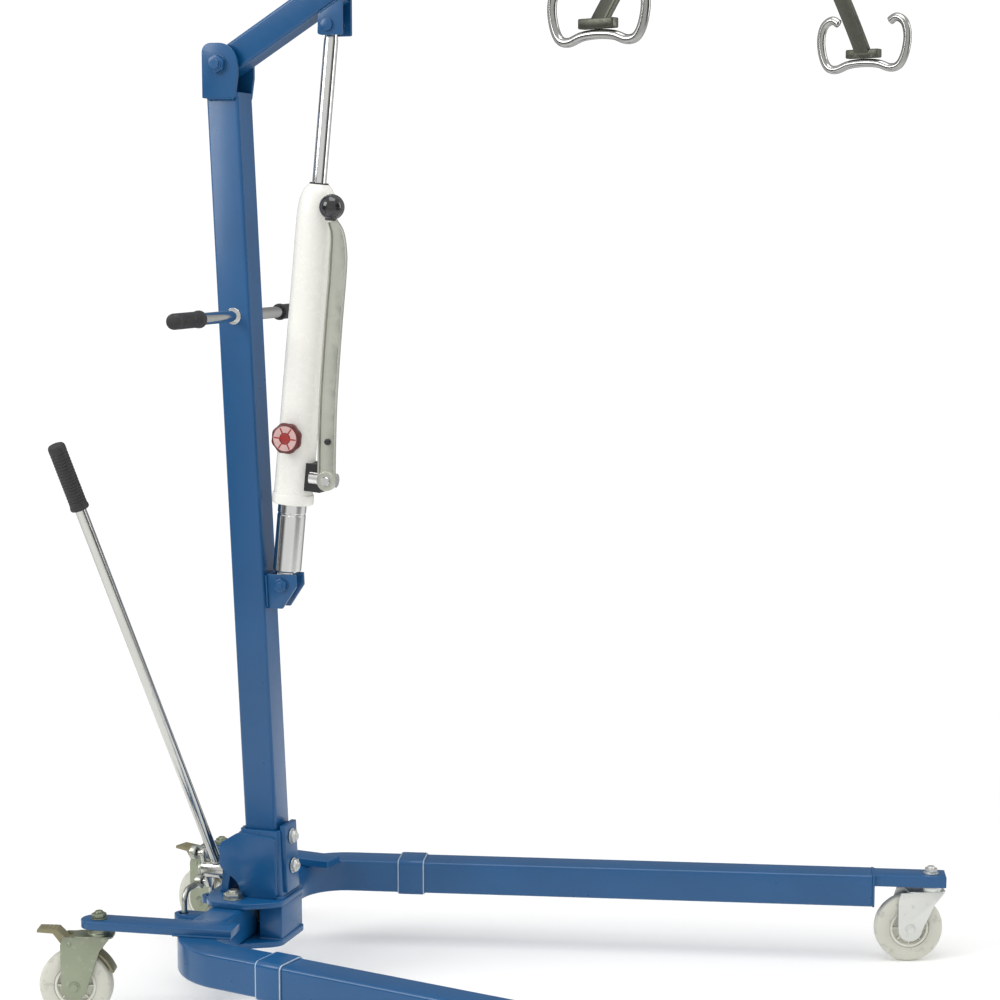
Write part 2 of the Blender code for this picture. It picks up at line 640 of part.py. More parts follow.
# ---- Boom and spreader -----------------------------------------------------------------------
def make_boom(root):
    """Drawn along +X from its pivot, then raised by its empty."""
    pivot = empty("boom_pivot", BOOM_PIVOT, (0, -BOOM_RISE, 0), root)
    outer, inner = tube_profiles(size=BOOM_TUBE)
    stations = [((x, 0, 0), (0, 1, 0), (0, 0, 1)) for x in (-BOOM_TUBE / 2, BOOM_END)]
    boom = swept("boom", stations, outer, inner)
    union(boom, rod("bush", 0.014, -TUBE / 2, TUBE / 2, 20, "Y"))
    cut(boom, rod("hole", 0.0083, -0.04, 0.04, 12, "Y"))
    finish(boom, BLUE, pivot)

    skin = -BOOM_TUBE / 2 - GAP
    cheek_t, half_gap = 0.006, 0.014
    outline = [(0.1619, skin), (0.2035, skin), (0.1800, -0.0584), (0.1765, -0.0642), (0.1490, -0.0473),
               (0.1463, -0.0435)]
    clevis = cheek("boom_clevis", outline, -(half_gap + cheek_t / 2), cheek_t)
    other = cheek("other", outline, half_gap + cheek_t / 2, cheek_t)
    seat = block("seat", (0.1640, -half_gap - 0.001, skin - 0.0035), (0.2005, half_gap + 0.001, skin - 0.0001))
    union(clevis, seat, other)
    for side in (-1, 1):
        profile = [(0.0, 0.0105), (0.005, 0.0105), (0.005, half_gap + cheek_t - 0.001),
                   (0.009, half_gap + cheek_t - 0.001), (0.009, half_gap + cheek_t + 0.005),
                   (0.0, half_gap + cheek_t + 0.005)]
        stub = turned("stub", profile, 12, "Y", (CLEVIS_U, 0, CLEVIS_N))
        mirrored(stub, side)
        union(clevis, stub)
    finish(clevis, BLUE, pivot)

    half = BOOM_TUBE / 2
    cap = block("boom_end_fork", (BOOM_END + GAP, -half, -half), (BOOM_END + 0.006, half, half))
    ear_outline = [(BOOM_END + 0.003, -0.016)]
    ear_outline += arc((HANG_U, 0.0), 0.015, -90, 90, 8)
    ear_outline.append((BOOM_END + 0.003, 0.016))
    ear_y = 0.0135
    for side in (-1, 1):
        union(cap, cheek("ear", ear_outline, side * ear_y, 0.005))
    cut(cap, rod("hole", 0.0063, -0.03, 0.03, 12, "Y", (HANG_U, 0, 0)))
    finish(cap, BLUE, pivot)
    hang = (HANG_U, 0, 0)
    finish(through_bolt("hanger_pin", 0.006, ear_y + 0.0025, "Y", hang, 0.010, 0.005), ZINC, pivot)
    return empty("hanger_axis", hang, (0, BOOM_RISE, 0), pivot)


def make_spreader(hanger):
    """A swivel link on the hanger pin, and a bowed bar with a double hook at each end."""
    boss_half, boss_r, bore_r = 0.018, 0.020, 0.0100
    boss_low = -SPREADER_DROP - boss_half
    link = cheek("swivel_link", arc((0, 0), 0.015, 0, 330, 11), 0.0, 0.020)
    stem = turned("stem", [(0.0, -0.200), (0.011, -0.199), (0.017, -0.192), (0.017, boss_low - GAP),
                           (bore_r, boss_low - GAP), (bore_r, -0.010),
                           (0.0, -0.010)], 16)
    union(link, stem)
    cut(link, rod("hole", 0.0063, -0.03, 0.03, 12, "Y"))
    finish(link, ZINC, hanger)

    swivel = empty("spreader_swivel", (0, 0, 0), (0, 0, -SPREADER_TURN), hanger)
    start, end = Vector((0.014, -SPREADER_DROP)), Vector((SPREADER_HALF, -HOOK_DROP + 0.0205))
    chord = end - start
    bow = math.radians(9.0)
    radius = chord.length / (2 * math.sin(bow))
    chord_angle = math.atan2(chord.y, chord.x)
    normal = Vector((math.sin(chord_angle), -math.cos(chord_angle)))
    centre = (start + end) / 2 + normal * radius * math.cos(bow)
    first = math.degrees(math.atan2(start.y - centre.y, start.x - centre.x))
    sweep = math.degrees(2 * bow)
    right = arc(centre, radius, first, first - sweep, 6)
    path = [(0, -y, z) for y, z in reversed(right)] + [(0, y, z) for y, z in right]
    bar = swept("spreader_bar", frames_along(path, (1, 0, 0)), rounded_rect(0.010, 0.024, 0.003))
    boss = rod("boss", boss_r, boss_low, boss_low + 2 * boss_half, 20)
    union(bar, boss)
    foot_low = -HOOK_DROP + 0.0145
    for side in (-1, 1):
        foot_y = side * SPREADER_HALF
        union(bar, block("foot", (-0.026, foot_y - 0.007, foot_low), (0.026, foot_y + 0.007, foot_low + 0.0125)))
    cut(bar, rod("bore", bore_r + 0.0004, -0.25, -0.05, 16))
    finish(bar, GUNMETAL, swivel)

    half_points = [(0.0, 0.008), (0.024, 0.006), (0.043, 0.000), (0.057, 0.003), (0.066, 0.018),
                   (0.070, 0.042), (0.065, 0.062), (0.052, 0.070), (0.040, 0.064)]
    points = [(-x, 0, z) for x, z in reversed(half_points[1:])] + [(x, 0, z) for x, z in half_points]
    for tag, side in (("near", -1), ("far", 1)):
        path = [point + Vector((0, side * SPREADER_HALF, -HOOK_DROP)) for point in smooth_path(points, 2)]
        finish(round_bar("sling_hook_" + tag, path, HOOK_ROD_R), CHROME, swivel)


# ---- Jack --------------------------------------------------------------------------------------
def make_jack(root):
    """Drawn upright from its foot pin, then tilted by its empty."""
    foot = empty("jack_pivot", JACK_FOOT, (0, JACK_TILT, 0), root)
    lower = cheek("jack_lower_tube", arc((0, 0), 0.011, 180, 360, 8) + [(0.011, 0.024), (-0.011, 0.024)],
                  0.0, 0.0228)
    union(lower, rod("barrel", 0.0205, 0.0185, 0.1177, 20))
    cut(lower, rod("hole", 0.0063, -0.03, 0.03, 12, "Y"))
    finish(lower, CHROME, foot)

    bore = ROD_R + 0.0005
    profile = [
        (0.0, 0.118), (0.0290, 0.118), (0.0300, 0.120), (0.0300, 0.131), (JACK_BODY_R, 0.134),
        (JACK_BODY_R, 0.530), (0.0265, 0.548), (0.0225, 0.563), (0.0170, 0.572), (0.0150, 0.575),
        (bore, 0.575), (bore, 0.165), (0.0, 0.165),
    ]
    finish(turned("jack_body", profile, 20), WHITE, foot)

    block_front = 0.047
    half = 0.017
    body_face = math.sqrt(JACK_BODY_R ** 2 - half ** 2)
    boss_start = 0.0295
    pump = block("pump_block", (body_face, -half, PUMP_S - 0.020), (block_front, half, PUMP_S + 0.020))
    cut(pump, rod("seat", JACK_BODY_R + GAP, 0.1, 0.2, 40))
    cut(pump, rod("groove", PUMP_BOSS_R + GAP, boss_start - GAP, 0.1, 24, "X", (0, PUMP_BOSS_Y, PUMP_S)))
    finish(pump, BLACK, foot)
    boss = rod("pump_boss", PUMP_BOSS_R, boss_start, 0.070, 20, "X", (0, PUMP_BOSS_Y, PUMP_S))
    union(boss, turned("pin", [(0.0, -0.0330), (0.0065, -0.0330), (0.0065, -0.0305), (0.004, -0.0305),
                               (0.004, -0.016), (0.0, -0.016)], 12, "Y", (PUMP_PIVOT_T, 0, PUMP_S)))
    finish(boss, CHROME, foot)

    pump_axis = empty("pump_axis", (PUMP_PIVOT_T, 0, PUMP_S), parent=foot)
    path = [(0.0, HANDLE_Y, 0.0), (-0.004, HANDLE_Y, 0.050), (-0.008, HANDLE_Y, 0.120),
            (-0.010, HANDLE_Y, 0.220), (-0.010, HANDLE_Y - 0.001, 0.300), (-0.013, -0.030, 0.345),
            (-0.021, -0.034, 0.366)]
    outline = rounded_rect(HANDLE_WIDTH, HANDLE_T, 0.003, 1)
    stations = []
    steps = smooth_path(path, 2)
    for index, point in enumerate(steps):
        behind, ahead = steps[max(index - 1, 0)], steps[min(index + 1, len(steps) - 1)]
        tangent = (ahead - behind).normalized()
        side = Vector((0, 1, 0)).cross(tangent).normalized()
        narrow = 1.0 if index < len(steps) - 3 else 0.5
        stations.append((point, side * narrow, tangent.cross(side)))
    handle = swept("pump_handle", stations, outline)
    eye = rod("eye", 0.0140, HANDLE_Y - HANDLE_T / 2, HANDLE_Y + HANDLE_T / 2, 20, "Y")
    union(handle, eye)
    cut(handle, rod("hole", 0.0043, -0.04, 0.0, 12, "Y"))
    finish(handle, ZINC, pump_axis)
    ball_r = 0.018
    ball_profile = [(0.0, -ball_r)]
    ball_profile += [(ball_r * math.cos(a), ball_r * math.sin(a))
                     for a in (math.radians(-90 + 22.5 * k) for k in range(1, 8))]
    ball_profile.append((0.0, ball_r))
    top = steps[-1]
    ball = turned("pump_knob", ball_profile, 16, "Z", top + Vector((-0.002, -0.003, ball_r + 0.0015)))
    finish(ball, BLACK, pump_axis)

    knob_s = 0.216
    valve = empty("valve_axis", (0, -JACK_BODY_R - GAP, knob_s), parent=foot)
    knob_profile = [(0.0, 0.0), (0.010, 0.0), (0.010, -0.005), (0.0205, -0.006), (0.0225, -0.009),
                    (0.0225, -0.018), (0.0205, -0.021), (0.0, -0.021)]
    finish(turned("release_knob", knob_profile, 12, "Y"), RED, valve)

    slide = empty("rod_axis", (0, 0, JACK_LENGTH), parent=foot)
    eye_plate = rod("piston_rod", 0.012, -0.0100, 0.0100, 16, "Y")
    union(eye_plate, rod("bar", ROD_R, 0.330 - JACK_LENGTH, -0.006, 16))
    cut(eye_plate, rod("hole", 0.0052, -0.02, 0.02, 12, "Y"))
    finish(eye_plate, CHROME, slide)


# ---- Base spreading lever -------------------------------------------------------------------------
def make_lever(root):
    """A hand lever on a fore-and-aft axle, whose two crank pins push the legs' tie rods."""
    bracket_outline = [(-0.024, 0.0), (0.024, 0.0), (0.024, 0.010)]
    axle_height = LEVER_AXLE_Z - MAST_FOOT_Z
    bracket_outline += arc((0.0, axle_height), 0.016, 0, 180, 8)
    bracket_outline.append((-0.024, 0.010))
    bracket = prism("lever_bracket", bracket_outline, -0.006, 0.006)
    upright = Matrix.Rotation(math.pi / 2, 4, "Z") @ Matrix.Rotation(math.pi / 2, 4, "X")
    bracket.data.transform(Matrix.Translation((-0.069, 0, MAST_FOOT_Z)) @ upright)
    axle_at = (0, 0, LEVER_AXLE_Z)
    cut(bracket, rod("hole", 0.0083, -0.2, 0.0, 12, "X", axle_at))
    finish(bracket, BLUE, root)
    profile = [(0.0, -0.119), (0.010, -0.119), (0.010, -0.1135), (0.008, -0.1135), (0.008, -0.062),
               (0.011, -0.062), (0.011, -0.056), (0.0, -0.056)]
    finish(turned("lever_axle", profile, 12, "X", axle_at), ZINC, root)

    pivot = empty("lever_pivot", axle_at, (CRANK_ANGLE, 0, 0), root)
    plate_outline = arc((0, CRANK_R), 0.0085, 0, 180, 6) + arc((0, -CRANK_R), 0.0085, 180, 360, 6)
    lever = prism("shift_lever", plate_outline, -0.0030, 0.0030)
    lever.data.transform(Matrix.Translation((-0.109, 0, 0)) @ upright)
    hub = rod("hub", 0.0140, -0.1125, -0.0765, 16, "X")
    bottom = Vector((-0.0900, 0.0, 0.006))
    top = bottom + Vector((-math.sin(LEVER_RAKE), 0, math.cos(LEVER_RAKE))) * LEVER_LENGTH
    arm = round_bar("arm", [bottom, top], 0.008, 12)
    union(lever, hub, arm)
    for side in (-1, 1):
        union(lever, rod("crank_pin", 0.004, -0.1320, -0.1090, 10, "X", (0, 0, side * CRANK_R)))
    cut(lever, rod("bore", 0.0083, -0.2, 0.0, 12, "X"))
    finish(lever, CHROME, pivot)

    grip_t = 0.0045
    inner_r = 0.008 + GAP
    base = LEVER_LENGTH - 0.095
    profile = [(0.0, LEVER_LENGTH + GAP), (inner_r, LEVER_LENGTH + GAP), (inner_r, base), (0.0125, base),
               (0.0132, base + 0.006), (0.0125, base + 0.020), (0.0125, LEVER_LENGTH - 0.001),
               (0.0095, LEVER_LENGTH + grip_t), (0.0, LEVER_LENGTH + grip_t)]
    grip = turned("lever_grip", profile, 16)
    grip.data.transform(Matrix.Translation(bottom) @ Matrix.Rotation(-LEVER_RAKE, 4, "Y"))
    finish(grip, BLACK, pivot)


def make_ties(root):
    """Bent rods from the crank pins to the lugs behind the leg pivots."""
    tie_x = LUG_X + 0.0009
    reach = CRANK_R * math.sin(CRANK_ANGLE)
    height = CRANK_R * (1 + math.cos(CRANK_ANGLE)) / 2
    for tag, side in (("near", -1), ("far", 1)):
        eye_y, eye_z = -side * reach, LEVER_AXLE_Z + side * height
        bend = 0.016
        bend_at = (side * (LEG_PIVOT.y - bend), eye_z - bend)
        curve = [(side * bend * math.sin(a), bend * math.cos(a)) for a in
                 (math.radians(22.5 * k) for k in range(5))]
        path = [(tie_x, eye_y + side * 0.0075, eye_z)]
        path += [(tie_x, bend_at[0] + y, bend_at[1] + z) for y, z in curve]
        path.append((tie_x, side * LEG_PIVOT.y, 0.098))
        tie = round_bar("tie_rod_" + tag, path, 0.0045, 8)
        union(tie, rod("eye", 0.0105, -0.004, 0.004, 16, "X", (tie_x, eye_y, eye_z)))
        cut(tie, rod("hole", 0.0063, -0.01, 0.01, 12, "X", (tie_x, eye_y, eye_z)))
        finish(tie, ZINC, root)


def main():
    clear_scene()
    root = empty("hoist", (-ORIGIN_X, 0, 0))
    make_hub(root)
    make_mast(root)
    make_socket(root)
    make_push_bar(root)
    make_mast_head(root)
    make_jack_bracket(root)
    make_legs(root)
    make_spreader(make_boom(root))
    make_jack(root)
    make_lever(root)
    make_ties(root)
    bpy.context.view_layer.update()


main()
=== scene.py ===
"""Looks of the patient lift hoist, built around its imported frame.

Metres, +X to the front of the hoist, +Z up. Each group of pieces is drawn about its own pivot,
in the frame that its joint gives, and then moved there.
"""

import json
from math import atan2, cos, degrees, pi, radians, sin

import bmesh
import bpy
from mathutils import Euler, Matrix, Vector


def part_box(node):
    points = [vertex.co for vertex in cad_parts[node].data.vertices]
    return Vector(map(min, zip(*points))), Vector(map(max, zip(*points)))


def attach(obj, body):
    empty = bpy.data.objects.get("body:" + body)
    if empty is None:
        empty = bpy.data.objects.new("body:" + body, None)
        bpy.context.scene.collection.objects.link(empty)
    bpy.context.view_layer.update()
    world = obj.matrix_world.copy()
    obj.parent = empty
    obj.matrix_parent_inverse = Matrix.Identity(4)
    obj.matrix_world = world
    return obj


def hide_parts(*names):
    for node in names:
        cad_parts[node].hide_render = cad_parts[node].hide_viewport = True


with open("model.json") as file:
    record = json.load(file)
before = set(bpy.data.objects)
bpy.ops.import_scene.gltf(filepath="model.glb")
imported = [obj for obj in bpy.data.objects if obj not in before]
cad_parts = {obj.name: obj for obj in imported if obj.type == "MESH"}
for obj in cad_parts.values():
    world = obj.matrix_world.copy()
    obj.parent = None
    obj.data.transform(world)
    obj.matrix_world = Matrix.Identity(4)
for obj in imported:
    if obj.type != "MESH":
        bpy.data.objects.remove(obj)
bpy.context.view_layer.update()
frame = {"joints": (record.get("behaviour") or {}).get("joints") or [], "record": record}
joints = {joint["name"]: joint for joint in frame["joints"]}

# ---- Dimensions of the frame that its joints and boxes don't give ---------------------------
TUBE = 0.05
WALL = 0.003
TUBE_CORNER = 0.005
GAP = 0.0003
MAST_LEAN = 0.0419
WHEEL_R = 0.052
CASTER_TRAIL = 0.034
LEG_Z = 0.111
LEG_TOP_Z = LEG_Z + TUBE / 2
LEG_SPLAY = radians(11.94)
LEG_BEND_R = 0.09
LEG_BEND_Y = 0.155
LEG_LENGTH = 0.808
LUG_X = -0.125
FRONT_STEM = 0.09
TAIL_ROOT = Vector((0.02, 0.182))
TAIL_HALF = 0.02
TAIL_T = 0.012
HUB_TOP_Z = 0.1363
PLATE_T = 0.008
MAST_FOOT_Z = HUB_TOP_Z + PLATE_T + GAP
MAST_TOP_Z = 1.308
CRANK_R = 0.0255
CRANK_ANGLE = radians(19.0)
LEVER_RAKE = radians(10.9)
LEVER_LENGTH = 0.69
LEVER_R = 0.008
LEVER_GRIP_BORE = 0.095
JACK_R = 0.028
JACK_LENGTH = 0.7953
SPREADER_DROP = 0.164
HOOK_DROP = 0.46
SIDES = (("near", -1), ("far", 1))


# ---- Frames that the joints stand in ---------------------------------------------------------
def joint_place(name):
    return Vector(joints[name]["pos_m"])


def turn(angle, axis):
    return Matrix.Rotation(angle, 4, axis)


def at_place(place):
    return Matrix.Translation(place)


HOIST = at_place((joint_place("shift_lever_throw").x, 0, 0))
BOOM_REACH = joint_place("hanger_swing") - joint_place("boom_lift")
HANG_U = BOOM_REACH.length
BOOM = at_place(joint_place("boom_lift")) @ turn(-atan2(BOOM_REACH.z, BOOM_REACH.x), "Y")
HANGER = at_place(joint_place("hanger_swing"))
HOOK_CENTRES = [sum(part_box("sling_hook_" + tag), Vector()) / 2 for tag, _ in SIDES]
HOOK_SPAN = HOOK_CENTRES[1] - HOOK_CENTRES[0]
SPREADER_HALF = HOOK_SPAN.length / 2
SPREADER = HANGER @ turn(-atan2(HOOK_SPAN.x, HOOK_SPAN.y), "Z")
JACK_AXIS = Vector(joints["rod_slide"]["axis"])
JACK_TILT = turn(atan2(JACK_AXIS.x, JACK_AXIS.z), "Y")
JACK = at_place(joint_place("jack_tilt")) @ JACK_TILT
PUMP = at_place(joint_place("pump_stroke")) @ JACK_TILT
VALVE = at_place(joint_place("release_turn")) @ JACK_TILT
LEVER = at_place(joint_place("shift_lever_throw")) @ turn(CRANK_ANGLE, "X")
AXLE_Z = joint_place("shift_lever_throw").z
BOOM_PIVOT = HOIST.inverted() @ joint_place("boom_lift")
LEG_PIVOT = HOIST.inverted() @ joint_place("leg_swing_far")
REAR_STEM = (HOIST.inverted() @ joint_place("caster_swivel_rear_far")).xy
PUSH_BAR = HOIST.inverted() @ (sum(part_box("push_bar"), Vector()) / 2)
PUSH_BAR_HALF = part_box("push_grip_far")[1].y


def swivel_frame(tag):
    axis = joints["wheel_spin_" + tag]["axis"]
    stem = joint_place("caster_swivel_" + tag)
    return at_place((stem.x, stem.y, 0)) @ turn(atan2(-axis[0], axis[1]), "Z")


ORIGIN = (0.0, 0.0, 0.0)


# ---- Mesh building -----------------------------------------------------------------------------
def linked(name, data, place=(0, 0, 0), rotation=(0, 0, 0)):
    item = bpy.data.objects.new(name, data)
    item.location = place
    item.rotation_euler = rotation
    bpy.context.scene.collection.objects.link(item)
    return item


def object_from(builder, name="shape"):
    mesh = bpy.data.meshes.new(name)
    builder.to_mesh(mesh)
    builder.free()
    return linked(name, mesh)


def closed_shape(builder):
    bmesh.ops.recalc_face_normals(builder, faces=builder.faces)
    return object_from(builder)


def apply_modifiers(item):
    bpy.context.view_layer.update()
    mesh = bpy.data.meshes.new_from_object(item.evaluated_get(bpy.context.evaluated_depsgraph_get()))
    item.modifiers.clear()
    item.data = mesh
    return item


def cut(target, *others):
    for other in others:
        modifier = target.modifiers.new("shape", "BOOLEAN")
        modifier.operation = "DIFFERENCE"
        modifier.solver = "EXACT"
        modifier.object = other
        apply_modifiers(target)
        bpy.data.objects.remove(other, do_unlink=True)
    return target


def bevelled(item, width=0.0008, segments=3, angle_deg=32.0):
    modifier = item.modifiers.new("edges", "BEVEL")
    modifier.width = width
    modifier.segments = segments
    modifier.limit_method = "ANGLE"
    modifier.angle_limit = radians(angle_deg)
    return apply_modifiers(item)


def join(*items):
    """Gathers several closed shapes into one piece."""
    builder = bmesh.new()
    for item in items:
        item.data.transform(item.matrix_world)
        builder.from_mesh(item.data)
        bpy.data.objects.remove(item, do_unlink=True)
    return object_from(builder)


def moved(item, matrix):
    item.data.transform(matrix)
    if matrix.determinant() < 0:
        item.data.flip_normals()
    return item


def arc(centre, radius, start_deg, end_deg, steps=16):
    points = []
    for step in range(steps + 1):
        angle = radians(start_deg + (end_deg - start_deg) * step / steps)
        points.append((centre[0] + radius * cos(angle), centre[1] + radius * sin(angle)))
    return points


def soften(points, radius, steps=3, closed=True):
    """Rounds the corners of an outline or of a turned profile."""
    points = [Vector(point) for point in points]
    count = len(points)
    result = []
    for index, point in enumerate(points):
        if not closed and index in (0, count - 1):
            result.append(tuple(point))
            continue
        before = points[index - 1] - point
        after = points[(index + 1) % count] - point
        reach = min(radius, 0.45 * before.length, 0.45 * after.length)
        first = point + before.normalized() * reach
        last = point + after.normalized() * reach
        for step in range(steps + 1):
            t = step / steps
            result.append(tuple(first * (1 - t) ** 2 + point * 2 * t * (1 - t) + last * t ** 2))
    return result


def rounded_rect(width, height, radius, steps=6):
    points = []
    for sign_u, sign_v, start in ((1, 1, 0), (-1, 1, 90), (-1, -1, 180), (1, -1, 270)):
        centre = (sign_u * (width / 2 - radius), sign_v * (height / 2 - radius))
        points += arc(centre, radius, start, start + 90, steps)
    return points


def prism(outline, low, high, shear=0.0):
    """Extrudes an XY outline upwards; shear moves it along -X per metre of height."""
    builder = bmesh.new()
    lower = [builder.verts.new((x - shear * low, y, low)) for x, y in outline]
    upper = [builder.verts.new((x - shear * high, y, high)) for x, y in outline]
    for index in range(len(outline)):
        after = (index + 1) % len(outline)
        builder.faces.new((lower[index], lower[after], upper[after], upper[index]))
    builder.faces.new(upper)
    builder.faces.new(lower[::-1])
    return closed_shape(builder)


def cheek(outline, centre_y, thickness):
    """A plate in the XZ plane that stands at centre_y."""
    item = prism(outline, -thickness / 2, thickness / 2)
    return moved(item, at_place((0, centre_y, 0)) @ turn(pi / 2, "X"))


def corners(low, high):
    return [(low[0], low[1]), (high[0], low[1]), (high[0], high[1]), (low[0], high[1])]


def block(low, high):
    return prism(corners(low, high), low[2], high[2])


AXIS_TURNS = {
    "Z": Matrix.Identity(4),
    "X": Matrix.Rotation(pi / 2, 4, "Y"),
    "Y": Matrix.Rotation(-pi / 2, 4, "X"),
}


def turned(profile, segments=48, axis="Z", at=ORIGIN, ripple=None):
    """Lathes (radius, height) pairs. ripple(angle, radius) may change the radius on the way round."""
    builder = bmesh.new()
    rings = []
    for radius, height in profile:
        if radius < 1e-6:
            rings.append([builder.verts.new((0, 0, height))])
            continue
        ring = []
        for segment in range(segments):
            angle = 2 * pi * segment / segments
            reach = ripple(angle, radius) if ripple else radius
            ring.append(builder.verts.new((reach * cos(angle), reach * sin(angle), height)))
        rings.append(ring)
    pairs = list(zip(rings, rings[1:]))
    if profile[0][0] >= 1e-6:
        pairs.append((rings[-1], rings[0]))
    for lower, upper in pairs:
        for segment in range(segments):
            after = (segment + 1) % segments
            if len(lower) == 1:
                builder.faces.new((lower[0], upper[after], upper[segment]))
            elif len(upper) == 1:
                builder.faces.new((lower[segment], lower[after], upper[0]))
            else:
                builder.faces.new((lower[segment], lower[after], upper[after], upper[segment]))
    return moved(closed_shape(builder), at_place(at) @ AXIS_TURNS[axis])


def soft_turned(profile, edge, steps, segments, axis="Z", at=ORIGIN):
    """A turned shape with rounded corners, from an open profile that starts and ends on the axis."""
    return turned(soften(profile, edge, steps, False), segments, axis, at)


def rod(radius, start, end, axis="Z", at=ORIGIN, segments=32, edge=0.0006):
    """A round bar with chamfered ends."""
    profile = [(0.0, start), (radius - edge, start), (radius, start + edge), (radius, end - edge),
               (radius - edge, end), (0.0, end)]
    return turned(profile, segments, axis, at)


def ring(inner_r, outer_r, low, high, axis="Z", at=ORIGIN, edge=0.0005, segments=40):
    return turned(soften(corners((inner_r, low), (outer_r, high)), edge), segments, axis, at)


def hexagon(half_flats, low, high, axis="Z", at=ORIGIN, phase_deg=0.0):
    """A hexagonal head or nut with chamfered corners."""
    corner = half_flats / cos(pi / 6)
    outline = arc((0, 0), corner, phase_deg, phase_deg + 300, 5)
    nut = bevelled(prism(outline, low, high), min(0.0008, (high - low) / 5), 2)
    return moved(nut, at_place(at) @ AXIS_TURNS[axis])


def thread(radius, low, high, axis="Z", at=ORIGIN, pitch=0.00125):
    """The grooved end of a screw."""
    profile = [(0.0, low)]
    turns = max(2, round((high - low) / pitch))
    step = (high - low) / turns
    for index in range(turns):
        profile += [(radius - 0.0005, low + step * index), (radius, low + step * (index + 0.5))]
    profile += [(radius - 0.0008, high), (0.0, high)]
    return turned(profile, 24, axis, at)


def hex_bolt(radius, half_grip, axis, at, flip=False):
    """A bolt through both sides, with washers, head, lock nut and thread; flip turns it about X."""
    washer_t = 0.0014
    head_half = radius * 1.62
    face = half_grip + GAP
    top = face + washer_t + radius * 1.15
    bolt = join(rod(radius - 0.0002, -face, face, axis, at), ring(radius, head_half * 1.22, -face - washer_t,
            -face, axis, at), ring(radius, head_half * 1.22, face, face + washer_t, axis, at),
                hexagon(head_half, -face - washer_t - radius * 0.95, -face - washer_t, axis, at, 10),
                hexagon(head_half, face + washer_t, face + washer_t + radius * 0.9, axis, at, 25),
                soft_turned([(0.0, face), (head_half * 0.86, face), (head_half * 0.8, top), (0.0, top)], 0.0006,
                            3, 32, axis, at), thread(radius - 0.0004, top - 0.001, top + radius * 0.35, axis,
                                                     at))
    if flip:
        centre = Vector(at)
        bolt.data.transform(at_place(centre) @ turn(pi, "X") @ at_place(-centre))
    return bolt


def split_pin(place, reach):
    """A bent cotter: an eye on one side and two spread legs on the other."""
    eye = [(reach * 0.1 * cos(a), reach + 0.0025 + 0.0022 * sin(a))
           for a in (radians(-240 + 30 * k) for k in range(11))]
    points = [(-0.0022, -reach - 0.0045), (-0.0006, -reach - 0.001), (-0.0006, reach)]
    points += [(x * 1.4, z) for x, z in eye]
    points += [(0.0006, reach), (0.0006, -reach - 0.001), (0.0026, -reach - 0.003)]
    return moved(round_bar(smooth_path([(x, 0, z) for x, z in points], 2), 0.0008, 8), at_place(place))


def swept(stations, outline, inner=None):
    """Joins copies of an outline along stations, each (position, side vector, up vector)."""
    builder = bmesh.new()

    def make_ring(station, points):
        place, side, up = station
        return [builder.verts.new(Vector(place) + Vector(side) * u + Vector(up) * v) for u, v in points]

    outer_rings = [make_ring(station, outline) for station in stations]
    inner_rings = [make_ring(station, inner) for station in stations] if inner else []
    count = len(outline)
    for rings in (outer_rings, inner_rings):
        for lower, upper in zip(rings, rings[1:]):
            for index in range(count):
                after = (index + 1) % count
                builder.faces.new((lower[index], lower[after], upper[after], upper[index]))
    for end in (0, -1):
        if inner:
            for index in range(count):
                after = (index + 1) % count
                outer_pair = (outer_rings[end][index], outer_rings[end][after])
                builder.faces.new(outer_pair + (inner_rings[end][after], inner_rings[end][index]))
        else:
            builder.faces.new(outer_rings[end])
    return closed_shape(builder)


def frames_along(points, up=(0.0, 0.0, 1.0)):
    """Stations with mitred joints for a path that lies in the plane square to up."""
    points = [Vector(point) for point in points]
    up = Vector(up)
    stations = []
    for index, point in enumerate(points):
        before = (point - points[index - 1]).normalized() if index else None
        after = (points[index + 1] - point).normalized() if index < len(points) - 1 else None
        tangent = ((before or after) + (after or before)).normalized()
        side = tangent.cross(up).normalized()
        if before and after:
            side = side / max(0.5, tangent.dot(before))
        stations.append((point, side, up))
    return stations


def smooth_path(points, steps=4):
    """A Catmull-Rom curve through the given points."""
    points = [Vector(point) for point in points]
    padded = [2 * points[0] - points[1]] + points + [2 * points[-1] - points[-2]]
    path = []
    for index in range(1, len(padded) - 2):
        p0, p1, p2, p3 = padded[index - 1:index + 3]
        for step in range(steps):
            t = step / steps
            path.append(0.5 * (2 * p1 + (p2 - p0) * t + (2 * p0 - 5 * p1 + 4 * p2 - p3) * t ** 2
                               + (3 * p1 - p0 - 3 * p2 + p3) * t ** 3))
    path.append(points[-1])
    return path


def carried_frames(points):
    """Stations along any path, by carrying one side vector from point to point."""
    points = [Vector(point) for point in points]
    tangents = []
    for index in range(len(points)):
        tangents.append((points[min(index + 1, len(points) - 1)] - points[max(index - 1, 0)]).normalized())
    side = tangents[0].orthogonal().normalized()
    stations = []
    for point, tangent in zip(points, tangents):
        side = (side - tangent * side.dot(tangent)).normalized()
        stations.append((point, side, tangent.cross(side)))
    return stations


